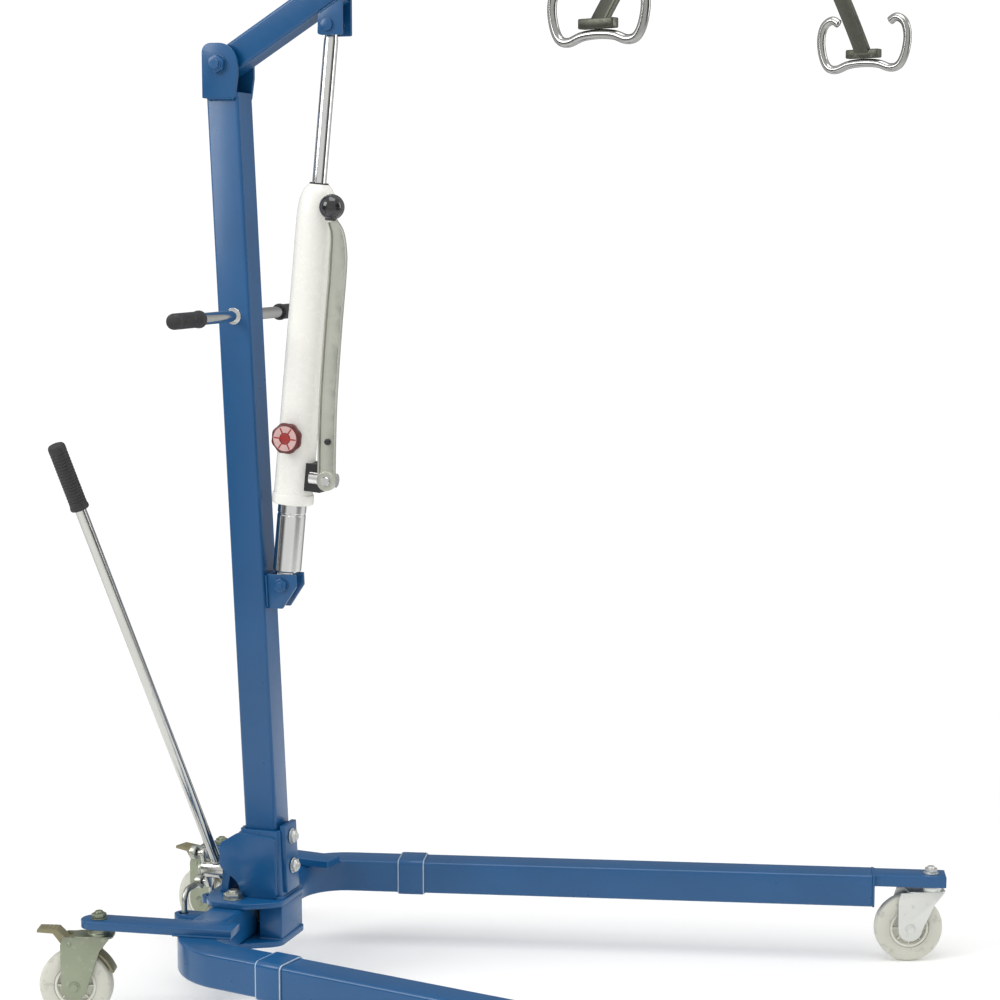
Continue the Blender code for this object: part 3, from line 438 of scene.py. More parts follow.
def round_bar(points, radius, sides=20, domed=True, radii=None):
    """A round bar along a path, with domed ends unless told otherwise."""
    stations = carried_frames(points)
    scales = [1.0 if radii is None else value / radius for value in (radii or points)]
    if domed:
        cap = [(cos(a), sin(a)) for a in (radians(22.5 * k) for k in (3.8, 3, 2, 1))]
        start, end = stations[0], stations[-1]
        back = start[1].cross(start[2])
        ahead = end[1].cross(end[2])
        stations[:1] = [(start[0] - back * radius * scales[0] * (rise - 1.0), start[1], start[2]) for _,
                        rise in cap] + [(start[0] + back * radius * scales[0], start[1], start[2])]
        stations[-1:] = [(end[0] - ahead * radius * scales[-1], end[1], end[2])] + [(end[0]
                + ahead * radius * scales[-1] * (rise - 1.0), end[1], end[2]) for _, rise in reversed(cap)]
        scales = [scales[0] * c for c, _ in cap] + scales + [scales[-1] * c for c, _ in reversed(cap)]
    circle = arc((0, 0), radius, 0, 360 - 360 / sides, sides - 1)
    scaled = [(place, Vector(side) * scale, Vector(up) * scale) for (place, side, up),
              scale in zip(stations, scales)]
    return swept(scaled, circle)


def weld(points, radius=0.0024, pitch=0.0022, closed=False):
    """A fillet weld: a bead with a ripple for each dab of the torch."""
    points = [Vector(point) for point in points]
    if closed:
        points.append(points[0])
    path = []
    for start, end in zip(points, points[1:]):
        count = max(2, round((end - start).length / pitch * 3))
        path += [start.lerp(end, index / count) for index in range(count)]
    path.append(points[-1])
    radii = [radius * (0.84 + 0.16 * abs(sin(pi * index / 3)) + 0.06 * sin(index * 0.61))
             for index in range(len(path))]
    return round_bar(path, radius, 8, False, radii)


def square_tube(stations, size=TUBE, wall=WALL, corner=TUBE_CORNER):
    outer = rounded_rect(size, size, corner, 7)
    inner = rounded_rect(size - 2 * wall, size - 2 * wall, max(0.0012, corner - wall), 7)
    return swept(stations, outer, inner)


def mast_x(height):
    return -MAST_LEAN * height


# ---- Finishes ----------------------------------------------------------------------------------
class Tree:
    """A node tree; a socket is given a value, or another node's output to be linked to."""

    def __init__(self, owner):
        owner.use_nodes = True
        self.nodes, self.links = owner.node_tree.nodes, owner.node_tree.links

    def put(self, node, sockets):
        for name, value in sockets.items():
            if isinstance(value, bpy.types.NodeSocket):
                self.links.new(value, node.inputs[name])
            else:
                node.inputs[name].default_value = value
        return node

    def add(self, kind, sockets=None, **settings):
        node = self.nodes.new("ShaderNode" + kind)
        for name, value in settings.items():
            setattr(node, name, value)
        return self.put(node, sockets or {})

    def object_place(self):
        return self.add("TexCoord").outputs["Object"]

    def noise(self, vector, scale, detail):
        return self.add("TexNoise", {"Vector": vector, "Scale": scale, "Detail": detail}).outputs["Fac"]

    def remapped(self, value, from_low, from_high, to_low, to_high, **settings):
        sockets = {"Value": value, "From Min": from_low, "From Max": from_high, "To Min": to_low,
                   "To Max": to_high}
        return self.add("MapRange", sockets, **settings).outputs["Result"]

    def mixed_colour(self, factor, first, second):
        return self.add("Mix", {"Factor": factor, 6: first, 7: second}, data_type="RGBA").outputs[2]

    def mixed_shader(self, factor, first, second, output):
        mix = self.add("MixShader", {"Fac": factor, 1: first, 2: second})
        self.put(output, {"Surface": mix.outputs["Shader"]})


def new_material(name, colour, roughness, metallic):
    material = bpy.data.materials.new(name)
    tree = Tree(material)
    sockets = {"Base Color": (*colour, 1.0), "Roughness": roughness, "Metallic": metallic}
    return material, tree, tree.put(tree.nodes["Principled BSDF"], sockets)


BROAD_SCALE = 7.0       # of the noise that changes the tone over a piece
MOTTLE_SCALE = 85.0     # of the noise that places worn spots and gloss
GRAIN_DEPTH = 0.0004


def look(name, colour, roughness, metallic, vary, spread, worn, wear, grain, bump,
         stretch=(1.0, 1.0, 1.0), coat=0.0):
    """A finish with broad tone changes, worn spots, uneven gloss and a fine surface grain."""
    material, tree, shader = new_material(name, colour, roughness, metallic)
    place = tree.object_place()
    stretched = tree.add("Mapping", {"Scale": stretch, "Vector": place}).outputs["Vector"]
    broad = tree.noise(place, BROAD_SCALE, 3.0)
    mottle = tree.noise(place, MOTTLE_SCALE, 6.0)
    dark, light = ((*(min(1.0, channel * factor) for channel in colour), 1.0)
                   for factor in (1 - vary, 1 + vary))
    tone = tree.mixed_colour(tree.remapped(broad, 0.3, 0.7, 0.0, 1.0), dark, light)
    spots = tree.remapped(mottle, wear, wear + 0.1, 0.0, 0.55)
    gloss = tree.remapped(mottle, 0.25, 0.75, max(0.03, roughness - spread), roughness + spread)
    grain_height = tree.noise(stretched, grain, 2.0)
    relief = tree.add("Bump", {"Strength": bump, "Distance": GRAIN_DEPTH, "Height": grain_height})
    tree.put(shader, {"Base Color": tree.mixed_colour(spots, tone, (*worn, 1.0)), "Roughness": gloss,
                      "Normal": relief.outputs["Normal"], "Coat Weight": coat, "Coat Roughness": 0.12})
    return material


LOOKS = {
    "frame_blue": look("powder_blue", (0.004, 0.08, 0.222), 0.3, 0.0, 0.08, 0.03, (0.012, 0.1, 0.25), 0.68,
                       700.0, 0.035, coat=0.15),
    "zinc": look("zinc_plate", (0.5, 0.52, 0.47), 0.34, 1.0, 0.1, 0.08, (0.36, 0.37, 0.31), 0.58, 1100.0, 0.1),
    "chrome": look("chrome_plate", (0.74, 0.74, 0.73), 0.13, 1.0, 0.05, 0.05, (0.6, 0.59, 0.56), 0.64, 500.0,
                   0.012, (8.0, 8.0, 0.4)),
    "spreader_metal": look("dark_plate", (0.105, 0.108, 0.085), 0.34, 0.85, 0.18, 0.1, (0.24, 0.24, 0.2), 0.62,
                           800.0, 0.06),
    "grip_black": look("moulded_rubber", (0.022, 0.022, 0.023), 0.56, 0.0, 0.2, 0.1, (0.06, 0.058, 0.055), 0.6,
                       1400.0, 0.3),
    "jack_white": look("warm_enamel", (0.88, 0.87, 0.815), 0.26, 0.0, 0.02, 0.06, (0.85, 0.83, 0.76), 0.66,
                       600.0, 0.06, coat=0.2),
    "knob_red": look("knob_maroon", (0.115, 0.014, 0.014), 0.34, 0.0, 0.15, 0.08, (0.2, 0.05, 0.045), 0.62,
                     900.0, 0.08),
    "tread": look("cream_tread", (0.62, 0.62, 0.54), 0.52, 0.0, 0.08, 0.1, (0.42, 0.41, 0.36), 0.57, 1300.0,
                  0.22),
    "wheel_core": look("cream_core", (0.74, 0.74, 0.66), 0.42, 0.0, 0.06, 0.08, (0.48, 0.47, 0.4), 0.6, 1000.0,
                       0.12),
    "brake_metal": look("olive_paint", (0.24, 0.22, 0.13), 0.42, 0.3, 0.14, 0.1, (0.38, 0.35, 0.26), 0.6, 900.0,
                        0.15),
}
PALE_FORK = look("pale_zinc", (0.7, 0.71, 0.68), 0.38, 0.85, 0.08, 0.08, (0.52, 0.53, 0.48), 0.6, 1000.0, 0.12)
GREEN_FORK = look("passivated_zinc", (0.29, 0.32, 0.235), 0.36, 0.8, 0.16, 0.1, (0.42, 0.44, 0.36), 0.58,
                  1000.0, 0.12)
GLOSS_BLACK = look("phenolic_ball", (0.01, 0.01, 0.012), 0.13, 0.0, 0.1, 0.04, (0.03, 0.03, 0.03), 0.66, 400.0,
                   0.03, coat=0.6)
CAST_BLACK = look("cast_black", (0.016, 0.016, 0.018), 0.38, 0.0, 0.2, 0.1, (0.07, 0.07, 0.07), 0.62, 500.0,
                  0.35)
RING_PINK = look("knob_rim", (0.62, 0.4, 0.38), 0.36, 0.0, 0.08, 0.06, (0.72, 0.58, 0.56), 0.6, 900.0, 0.08)
BRIGHT_RED = look("knob_core", (0.34, 0.022, 0.02), 0.28, 0.0, 0.1, 0.06, (0.46, 0.1, 0.09), 0.64, 700.0, 0.06,
                  coat=0.3)
HOOK_CHROME = look("hook_chrome", (0.4, 0.4, 0.385), 0.15, 1.0, 0.08, 0.06, (0.28, 0.27, 0.25), 0.62, 500.0,
                   0.02)
LEVER_CHROME = look("lever_chrome", (0.58, 0.58, 0.55), 0.17, 1.0, 0.06, 0.06, (0.44, 0.43, 0.4), 0.62, 500.0,
                    0.02)
# Pale blue for the thin rims at the leg sleeves' ends: a painted highlight that stands for the light caught on
# the sleeves' chamfered edges.
PAINTED_EDGE_HIGHLIGHT = look("painted_edge_highlight", (0.36, 0.47, 0.6), 0.4, 0.2, 0.14, 0.1, (0.55, 0.6, 0.66), 0.56, 900.0, 0.15)
STEEL_STRIP = look("pressed_strip", (0.55, 0.56, 0.49), 0.36, 0.85, 0.1, 0.1, (0.47, 0.48, 0.41), 0.62, 700.0,
                   0.15, (1.0, 1.0, 0.1))

NODE_BODY = {node: body for body, nodes in frame["record"]["behaviour"]["bodies"].items() for node in nodes}
NODE_SLOT = {entry["node"]: entry["material_slot"] for entry in frame["record"]["subparts"]}
FLIPS = {1: Matrix.Identity(4), -1: Matrix.Scale(-1, 4, (0, 1, 0))}    # by the side a piece is on


def piece(name, item, place, finish, body, slot, nodes=(), sharp_deg=30.0):
    """Puts a shape in its place, gives it its finish and hangs it on its body."""
    moved(item, place)
    item.name = name
    item.data.name = name
    item.data.materials.clear()
    item.data.materials.append(finish)
    item.data.shade_smooth()
    item.data.set_sharp_from_angle(angle=radians(sharp_deg))
    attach(item, body)
    if nodes:
        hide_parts(*nodes)
    return item


def dress(node, item, place, finish=None, sharp_deg=30.0):
    """The finer version of one CAD node."""
    slot = NODE_SLOT[node]
    return piece(node + "_fine", item, place, finish or LOOKS[slot], NODE_BODY[node], slot, (node,), sharp_deg)


# ---- Base --------------------------------------------------------------------------------------
HUB_BOTTOM_Z = 0.0777
HUB_OUTLINE = ((0.03, 0.04), (0.02, 0.052), (-0.018, 0.073), (-0.07, 0.073), (-0.084, 0.056), (-0.092, 0.026))
HUB_BLOCKS = ((-0.008, 0.028, 0.038), (-0.09, -0.0775, 0.0255))
SOCKET_TOP_Z = 0.245
SOCKET_WALL = 0.006
SOCKET_BOLTS_Z = (0.188, 0.232)
LEG_BOLT_R = 0.0075
BOOM_BOLT_R = 0.007
SMALL_BOLT_R = 0.0056


def leaning(low, high):
    return [((mast_x(height), 0, height), (1, 0, 0), (0, 1, 0)) for height in (low, high)]


def square_path(half, height, centre_x=0.0):
    return [(centre_x + x * half, y * half, height) for x, y in ((1, 1), (-1, 1), (-1, -1), (1, -1))]


def make_hub():
    outline = list(HUB_OUTLINE) + [(x, -y) for x, y in reversed(HUB_OUTLINE)]
    outline = soften(outline, 0.007, 4)
    floor_z = HUB_BOTTOM_Z + PLATE_T
    parts = [bevelled(prism(outline, HUB_BOTTOM_Z, floor_z), 0.0011, 3, 50)]
    for low_x, high_x, half_y in HUB_BLOCKS:
        parts.append(bevelled(block((low_x, -half_y, floor_z - 0.002), (high_x, half_y, HUB_TOP_Z - GAP)),
                              0.0014))
        bead = [(low_x, -half_y, floor_z), (low_x, half_y, floor_z), (high_x, half_y, floor_z),
                (high_x, -half_y, floor_z)]
        parts.append(weld(bead, 0.0022, closed=True))
    dress("hub_base", join(*parts), HOIST)
    top = bevelled(prism(outline, HUB_TOP_Z, HUB_TOP_Z + PLATE_T), 0.0011, 3, 50)
    dress("hub_top_plate", top, HOIST)
    middle = (HUB_BOTTOM_Z + HUB_TOP_Z + PLATE_T) / 2
    half_grip = (HUB_TOP_Z + PLATE_T - HUB_BOTTOM_Z) / 2
    for tag, side in SIDES:
        at = (LEG_PIVOT.x, side * LEG_PIVOT.y, middle)
        dress("leg_pivot_bolt_" + tag, hex_bolt(LEG_BOLT_R, half_grip, "Z", at), HOIST)


def make_mast():
    dress("mast", bevelled(square_tube(leaning(MAST_FOOT_Z, MAST_TOP_Z)), 0.0005, 2, 60), HOIST, sharp_deg=35)
    size = TUBE + 2 * (GAP + SOCKET_WALL)
    sleeve = square_tube(leaning(MAST_FOOT_Z, SOCKET_TOP_Z), size, SOCKET_WALL, TUBE_CORNER + 0.003)
    face, clamp_t, cheek_t = size / 2, 0.006, 0.005
    strip = corners((face - 0.002, -0.022), (face + clamp_t, 0.022))
    clamp = prism(soften(strip, 0.0015), 0.152, SOCKET_TOP_Z + 0.006, MAST_LEAN)
    parts = [bevelled(sleeve, 0.0009, 2, 60), bevelled(clamp, 0.0009, 2, 50)]
    outline = [(0.018, MAST_FOOT_Z), (0.016, 0.236), (-0.042, 0.24), (-0.072, 0.221), (-0.072, 0.186),
               (-0.044, 0.166), (-0.036, MAST_FOOT_Z)]
    for side in (-1, 1):
        wing = cheek(soften(outline, 0.006, 4), side * (face + cheek_t / 2 - 0.0008), cheek_t)
        parts.append(bevelled(wing, 0.0009, 2, 50))
        edge_y = side * (face + 0.0006)
        parts.append(weld([(0.017, edge_y, 0.15), (0.0158, edge_y, 0.234)], 0.0018))
    parts.append(weld(square_path(face - 0.001, MAST_FOOT_Z + 0.0006, mast_x(MAST_FOOT_Z)), 0.0026,
                      closed=True))
    dress("mast_socket", join(*parts), HOIST)
    for node, height in zip(("socket_bolt_lower", "socket_bolt_upper"), SOCKET_BOLTS_Z):
        at = (mast_x(height) + clamp_t / 2, 0, height)
        dress(node, hex_bolt(SMALL_BOLT_R, face + clamp_t / 2 + 0.0006, "X", at), HOIST, PALE_FORK)


def rubber_grip(length, radius, flange_r, bore_r, bore_depth, ribs):
    """A moulded grip along +Z from its mouth: a flange, a ribbed body and a rounded closed end."""
    profile = [(0.0, bore_depth), (bore_r, bore_depth), (bore_r, 0.0), (flange_r - 0.0007, 0.0),
               (flange_r, 0.001), (flange_r, 0.0042), (flange_r - 0.0006, 0.0052), (radius, 0.0075)]
    start, end = 0.011, length - 0.011
    pitch = (end - start) / ribs
    for index in range(ribs):
        low = start + pitch * index
        profile += [(radius, low + pitch * 0.12), (radius - 0.0007, low + pitch * 0.26),
                    (radius - 0.0007, low + pitch * 0.5), (radius, low + pitch * 0.64)]
    profile += [(radius, length - 0.006), (radius * 0.96, length - 0.0034), (radius * 0.84, length - 0.0013),
                (radius * 0.6, length - 0.0003), (0.0, length)]
    return turned(profile, 40)


PUSH_BAR_R = 0.0085
PUSH_GRIP_LENGTH = 0.085
PUSH_GRIP_BORE = 0.081


def make_push_bar():
    half = PUSH_BAR_HALF - (PUSH_GRIP_LENGTH - PUSH_GRIP_BORE)
    bar = rod(PUSH_BAR_R, -half, half, "Y", PUSH_BAR, 36, 0.001)
    collars = [ring(0.0082, 0.0118, side * 0.0252 - 0.0012, side * 0.0252 + 0.0012, "Y", PUSH_BAR)
               for side in (-1, 1)]
    dress("push_bar", join(bar, *collars), HOIST)
    for tag, side in SIDES:
        grip = rubber_grip(PUSH_GRIP_LENGTH, 0.0112, 0.0124, PUSH_BAR_R + GAP, PUSH_GRIP_BORE + GAP, 15)
        at = at_place((PUSH_BAR.x, side * (PUSH_BAR_HALF - PUSH_GRIP_LENGTH),
                       PUSH_BAR.z)) @ turn(-side * pi / 2, "X")
        dress("push_grip_" + tag, grip, HOIST @ at)


def make_mast_head():
    inner_y, plate_t, web_t = TUBE / 2 + 2 * GAP, 0.005, 0.003
    low_z, web_top, crown_r = 1.3, 1.325, 0.03
    rear_x = mast_x(low_z) - TUBE / 2 - GAP - web_t
    pivot = (BOOM_PIVOT.x, BOOM_PIVOT.z)
    outline = [(rear_x, low_z), (mast_x(low_z) + 0.022, low_z), (pivot[0] + crown_r, 1.33)]
    outline += arc(pivot, crown_r, 0, 90, 14)
    outline += arc((rear_x + 0.013, pivot[1] + crown_r - 0.013), 0.013, 90, 180, 8)
    parts = []
    for side in (-1, 1):
        parts.append(bevelled(cheek(outline, side * (inner_y + plate_t / 2), plate_t), 0.0009, 3, 50))
        edge_y = side * (inner_y - 0.0004)
        parts.append(weld([(rear_x + 0.001, edge_y, low_z + 0.003), (rear_x + 0.001, edge_y, web_top - 0.002)],
                          0.0016))
    rear = -TUBE / 2 - GAP
    web = corners((rear - web_t, -inner_y - 0.001), (rear, inner_y + 0.001))
    parts.append(bevelled(prism(web, low_z, web_top, MAST_LEAN), 0.0006, 2))
    for side in (-1, 1):
        bead_y, bead_z = side * (inner_y + 0.002), low_z - 0.0004
        parts.append(weld([(rear_x + 0.007, bead_y, bead_z), (mast_x(low_z) + 0.02, bead_y, bead_z)], 0.0022))
    dress("mast_head_bracket", join(*parts), HOIST)
    bolt = hex_bolt(BOOM_BOLT_R, inner_y + plate_t, "Y", BOOM_PIVOT, True)
    dress("boom_pivot_bolt", bolt, HOIST)


def make_jack_bracket():
    back = TUBE / 2 + GAP
    outline = [(back, -0.0168), (back + 0.047, -0.0168), (back + 0.047, -0.0118), (back + 0.005, -0.0118),
               (back + 0.005, 0.0118), (back + 0.047, 0.0118), (back + 0.047, 0.0168), (back, 0.0168)]
    bracket = prism(soften(outline, 0.0015, 2), 0.572, 0.622, MAST_LEAN)
    cut(bracket, cheek([(0.017, 0.56), (0.08, 0.56), (0.08, 0.64), (0.0465, 0.604)], 0.0, 0.08))
    parts = [bevelled(bracket, 0.0007, 2, 45)]
    for side in (-1, 1):
        x_low, x_high = mast_x(0.574) + back, mast_x(0.62) + back
        parts.append(weld([(x_low + 0.001, side * 0.0178, 0.574), (x_high + 0.001, side * 0.0178, 0.62)],
                          0.002))
    dress("jack_bracket", join(*parts), HOIST)
    foot = HOIST.inverted() @ joint_place("jack_tilt")
    dress("jack_foot_pin", hex_bolt(SMALL_BOLT_R, 0.0168, "Y", foot, True), HOIST)


# ---- Legs ----------------------------------------------------------------------------------------
def leg_end(distance):
    """A point on the far leg's centreline, that far beyond the bend, as (x, y)."""
    centre = Vector((LEG_PIVOT.x + LEG_BEND_R, LEG_BEND_Y))
    bend_exit = centre + LEG_BEND_R * Vector((-sin(LEG_SPLAY), cos(LEG_SPLAY)))
    return bend_exit + distance * Vector((cos(LEG_SPLAY), sin(LEG_SPLAY)))


def make_leg(tag, place):
    path = [(LEG_PIVOT.x, 0.02), (LEG_PIVOT.x, 0.09)]
    path += arc((LEG_PIVOT.x + LEG_BEND_R, LEG_BEND_Y), LEG_BEND_R, 180, 90 + degrees(LEG_SPLAY), 28)
    path.append(tuple(leg_end(LEG_LENGTH)))
    tube = square_tube(frames_along([(x, y, LEG_Z) for x, y in path]))
    lug_y = LEG_PIVOT.y
    lug = prism([(-0.0685, lug_y - 0.017), (-0.0685, lug_y + 0.017)] + arc((LUG_X, lug_y), 0.014, 90, 270, 16),
                0.105, 0.115)
    cut(lug, rod(0.007, 0.09, 0.13, at=(LUG_X, lug_y, 0)))
    bead = weld([(-0.0702, lug_y - 0.016, 0.1152), (-0.0702, lug_y + 0.016, 0.1152)], 0.002)
    dress("leg_" + tag, join(tube, bevelled(lug, 0.0008, 2, 50), bead), place, sharp_deg=35)
    wall = 0.0025
    size = TUBE + 2 * (GAP + wall)
    stations = frames_along([(*leg_end(distance), LEG_Z) for distance in (0.078, 0.116)])
    sleeve = bevelled(square_tube(stations, size, wall, TUBE_CORNER + wall), 0.0007, 3, 60)
    dress("leg_sleeve_" + tag, sleeve, place, sharp_deg=35)
    # Thin pale bands at both ends of the sleeve: painted highlight along its chamfered end edges.
    rims = []
    for distance in (0.0773, 0.1167):
        stations = frames_along([(*leg_end(distance + shift), LEG_Z) for shift in (-0.001, 0.001)])
        rims.append(bevelled(square_tube(stations, size - 0.0006, wall - 0.0004, TUBE_CORNER + wall), 0.0005, 2,
                             60))
    piece("leg_sleeve_highlight_rims_" + tag, join(*rims), place, PAINTED_EDGE_HIGHLIGHT, NODE_BODY["leg_" + tag], "frame_blue")

    start = leg_end(LEG_LENGTH + GAP)
    mount_place = at_place((start.x, start.y, 0)) @ turn(LEG_SPLAY, "Z")
    low, high = LEG_Z - TUBE / 2, LEG_TOP_Z
    plate = bevelled(block((0, -0.025, low), (0.004, 0.025, high)), 0.0012, 3)
    channel = block((0.002, -0.021, 0.118), (FRONT_STEM + 0.022, 0.021, high - 0.0005))
    cut(channel, block((0.006, -0.0175, 0.11), (FRONT_STEM + 0.03, 0.0175, high - 0.0045)))
    top_z = high - 0.0006
    beads = [weld([(0.0046, -0.02, top_z - 0.001), (0.0046, 0.02, top_z - 0.001)], 0.0018),
             weld([(0.0046, -0.0216, 0.12), (0.0046, -0.0216, top_z - 0.002)], 0.0018)]
    mount = join(plate, bevelled(channel, 0.0013, 3), *beads)
    dress("front_caster_mount_" + tag, mount, place @ mount_place)

    direction = (REAR_STEM - TAIL_ROOT).normalized()
    across = Vector((-direction.y, direction.x)) * TAIL_HALF
    heading = degrees(atan2(direction.y, direction.x))
    outline = [tuple(TAIL_ROOT - across)] + arc(REAR_STEM + direction * 0.006, TAIL_HALF, heading - 90, heading
                                                + 90, 20)
    outline.append(tuple(TAIL_ROOT + across))
    bar = bevelled(prism(outline, LEG_TOP_Z + GAP, LEG_TOP_Z + TAIL_T), 0.0012, 3, 50)
    seat_z = LEG_TOP_Z + 0.0012
    root, far = TAIL_ROOT - across * 1.03, TAIL_ROOT + direction * 0.085 - across * 1.03
    bead = weld([(root.x, root.y, seat_z), (far.x, far.y, seat_z)], 0.002)
    dress("tail_bar_" + tag, join(bar, bead), place)


# ---- Casters -------------------------------------------------------------------------------------
def make_fork(tag, crown_z, plate_low, plate_high, brake, place, finish):
    axle = (-CASTER_TRAIL, WHEEL_R)
    inner_y, plate_t = 0.015, 0.0025
    outline = [(0.003, crown_z - 0.02), (0.016, crown_z - 0.004), (0.016, crown_z), (-0.049, crown_z),
               (-0.053, crown_z - 0.012)]
    outline += arc(axle, 0.0185, 180, 355, 24)
    parts = [bevelled(cheek(outline, side * (inner_y + plate_t / 2), plate_t), 0.0007, 2, 50)
             for side in (-1, 1)]
    crown = [(x - 0.008, y) for x, y in rounded_rect(0.058, 0.0345, 0.01, 8)]
    parts.append(bevelled(prism(crown, crown_z - 0.003, crown_z + 0.001), 0.001, 3, 50))
    head_top = plate_low - GAP
    rise = head_top - crown_z
    head = [(0.0, crown_z - 0.001), (0.0165, crown_z - 0.001), (0.0165, crown_z + rise * 0.3),
            (0.015, crown_z + rise * 0.42), (0.015, crown_z + rise * 0.55), (0.016, crown_z + rise * 0.66),
            (0.015, head_top), (0.0, head_top)]
    parts.append(soft_turned(head, 0.0008, 2, 48))
    nut_low = plate_high + GAP
    parts.append(ring(0.0055, 0.0115, nut_low, nut_low + 0.0014))
    parts.append(hexagon(0.0092, nut_low + 0.0014, nut_low + 0.0078, phase_deg=12))
    parts.append(thread(0.0058, plate_low - 0.001, nut_low + 0.011, pitch=0.0015))
    rivet_y = inner_y + plate_t
    for side in (-1, 1):
        cap = soft_turned([(0.0, rivet_y - 0.0005), (0.0086, rivet_y - 0.0005), (0.0086, rivet_y + 0.001),
                           (0.0062, rivet_y + 0.0012), (0.0058, rivet_y + 0.0028), (0.0, rivet_y + 0.003)],
                          0.0006, 2, 32, "Y")
        parts.append(moved(cap, at_place((axle[0], 0, axle[1])) @ FLIPS[side]))
    parts.append(rod(0.005, -rivet_y, rivet_y, "Y", (axle[0], 0, axle[1])))
    if brake:
        parts.append(rod(0.003, -rivet_y - 0.001, rivet_y + 0.001, "Y", (-0.04, 0.0, 0.1145), 20))
    dress("caster_fork_" + tag, join(*parts), place, finish)


def both_sides(profile):
    """Adds the half of a profile below height 0 that mirrors the half above."""
    return profile + [(radius, -height) for radius, height in reversed(profile)]


def make_wheel(tag, place):
    half, radius = 0.012, WHEEL_R
    tyre = [(0.0303, half - 0.0014), (0.0318, half - 0.0006), (radius - 0.0075, half),
            (radius - 0.003, half - 0.0012), (radius - 0.0006, half - 0.004), (radius, half - 0.0062),
            (radius, 0.001), (radius - 0.0004, 0.0004)]
    dress("tyre_" + tag, turned(both_sides(tyre), 72, "Y"), place)
    core = [(0.0054, 0.013), (0.0104, 0.013), (0.011, 0.0124), (0.012, 0.004), (0.0245, 0.0032),
            (0.0258, 0.0092), (0.0264, 0.01), (0.0296, 0.01), (0.03, 0.0094)]
    parts = [turned(both_sides(core), 64, "Y")]
    for index in range(8):
        rib = bevelled(block((0.0105, -0.0078, -0.0011), (0.0262, 0.0078, 0.0011)), 0.0005, 2)
        parts.append(moved(rib, turn(index * pi / 4, "Y")))
    dress("wheel_hub_" + tag, join(*parts), place)


def make_brake(tag, place):
    wheel = (-CASTER_TRAIL, WHEEL_R)
    outline = arc(wheel, 0.0598, 20, 85, 18)
    outline += [(-0.036, 0.1203), (-0.044, 0.1203), (-0.058, 0.1345), (-0.086, 0.135), (-0.087, 0.13),
                (-0.064, 0.1285), (-0.052, 0.1125)]
    outline += arc(wheel, 0.0565, 100, 20, 20)
    parts = [bevelled(cheek(outline, 0.0, 0.025), 0.0008, 2, 40)]
    for index in range(4):
        x = -0.064 - 0.0055 * index
        parts.append(rod(0.0008, -0.0105, 0.0105, "Y", (x, 0, 0.1347), 12, 0.0003))
    dress("brake_pedal_" + tag, join(*parts), place)


def make_casters():
    for tag, _ in SIDES:
        front, rear = "front_" + tag, "rear_" + tag
        make_fork(front, 0.1095, LEG_TOP_Z - 0.0045, LEG_TOP_Z - 0.0005, False, swivel_frame(front), PALE_FORK)
        make_fork(rear, 0.125, LEG_TOP_Z + GAP, LEG_TOP_Z + TAIL_T, True, swivel_frame(rear), GREEN_FORK)
        for wheel in (front, rear):
            make_wheel(wheel, swivel_frame(wheel) @ at_place((-CASTER_TRAIL, 0, WHEEL_R)))
        make_brake(rear, swivel_frame(rear))


# ---- Boom and spreader -----------------------------------------------------------------------------
BOOM_TUBE = 0.04
BOOM_END = 0.82
CLEVIS_AT = Vector((0.165, 0.0, -0.041))


def make_boom():
    stations = [((x, 0, 0), (0, 1, 0), (0, 0, 1)) for x in (-BOOM_TUBE / 2, BOOM_END)]
    tube = bevelled(square_tube(stations, BOOM_TUBE, WALL, TUBE_CORNER), 0.0005, 2, 60)
    bush = ring(0.0083, 0.014, -TUBE / 2, TUBE / 2, "Y", edge=0.0008)
    dress("boom", join(tube, bush), BOOM, sharp_deg=35)

    skin = -BOOM_TUBE / 2 - GAP
    cheek_t, half_gap = 0.006, 0.014
    outline = [(0.1619, skin), (0.2035, skin), (0.18, -0.0584), (0.1765, -0.0642), (0.149, -0.0473),
               (0.1463, -0.0435)]
    parts = []
    for side in (-1, 1):
        parts.append(bevelled(cheek(soften(outline, 0.0025, 3), side * (half_gap + cheek_t / 2), cheek_t),
                              0.0009, 3, 45))
        start = half_gap + cheek_t - 0.001
        stub = soft_turned([(0.0, 0.0105), (0.005, 0.0105), (0.005, start), (0.0088, start),
                            (0.0088, start + 0.0048), (0.0, start + 0.006)], 0.0008, 3, 32, "Y")
        parts.append(moved(stub, at_place(CLEVIS_AT) @ FLIPS[side]))
        bead_y = side * (half_gap + cheek_t - 0.0004)
        parts.append(weld([(0.164, bead_y, skin - 0.0004), (0.202, bead_y, skin - 0.0004)], 0.0016))
    parts.append(bevelled(block((0.164, -half_gap - 0.001, skin - 0.0035),
                                (0.2005, half_gap + 0.001, skin - 0.0001)), 0.0006, 2))
    dress("boom_clevis", join(*parts), BOOM)

    half = BOOM_TUBE / 2
    parts = [bevelled(block((BOOM_END + GAP, -half, -half), (BOOM_END + 0.006, half, half)), 0.0012, 3)]
    ear = [(BOOM_END + 0.003, -0.016)] + arc((HANG_U, 0.0), 0.015, -90, 90, 20) + [(BOOM_END + 0.003, 0.016)]
    for side in (-1, 1):
        parts.append(bevelled(cheek(ear, side * 0.0135, 0.005), 0.0008, 2, 50))
        bead_x = BOOM_END + 0.0064
        parts.append(weld([(bead_x, side * 0.0165, -0.014), (bead_x, side * 0.0165, 0.014)], 0.0016))
    dress("boom_end_fork", join(*parts), BOOM)
    hang = (HANG_U, 0, 0)
    pin = [rod(0.0058, -0.0235, 0.0165, "Y", hang, 32, 0.001),
           soft_turned([(0.0, 0.0163), (0.0098, 0.0163), (0.0098, 0.02), (0.0, 0.0212)], 0.001, 3, 36, "Y",
                       hang), ring(0.0058, 0.01, -0.018, -0.0164, "Y", hang),
           split_pin((HANG_U, -0.0205, 0), 0.0058)]
    dress("hanger_pin", join(*pin), BOOM)


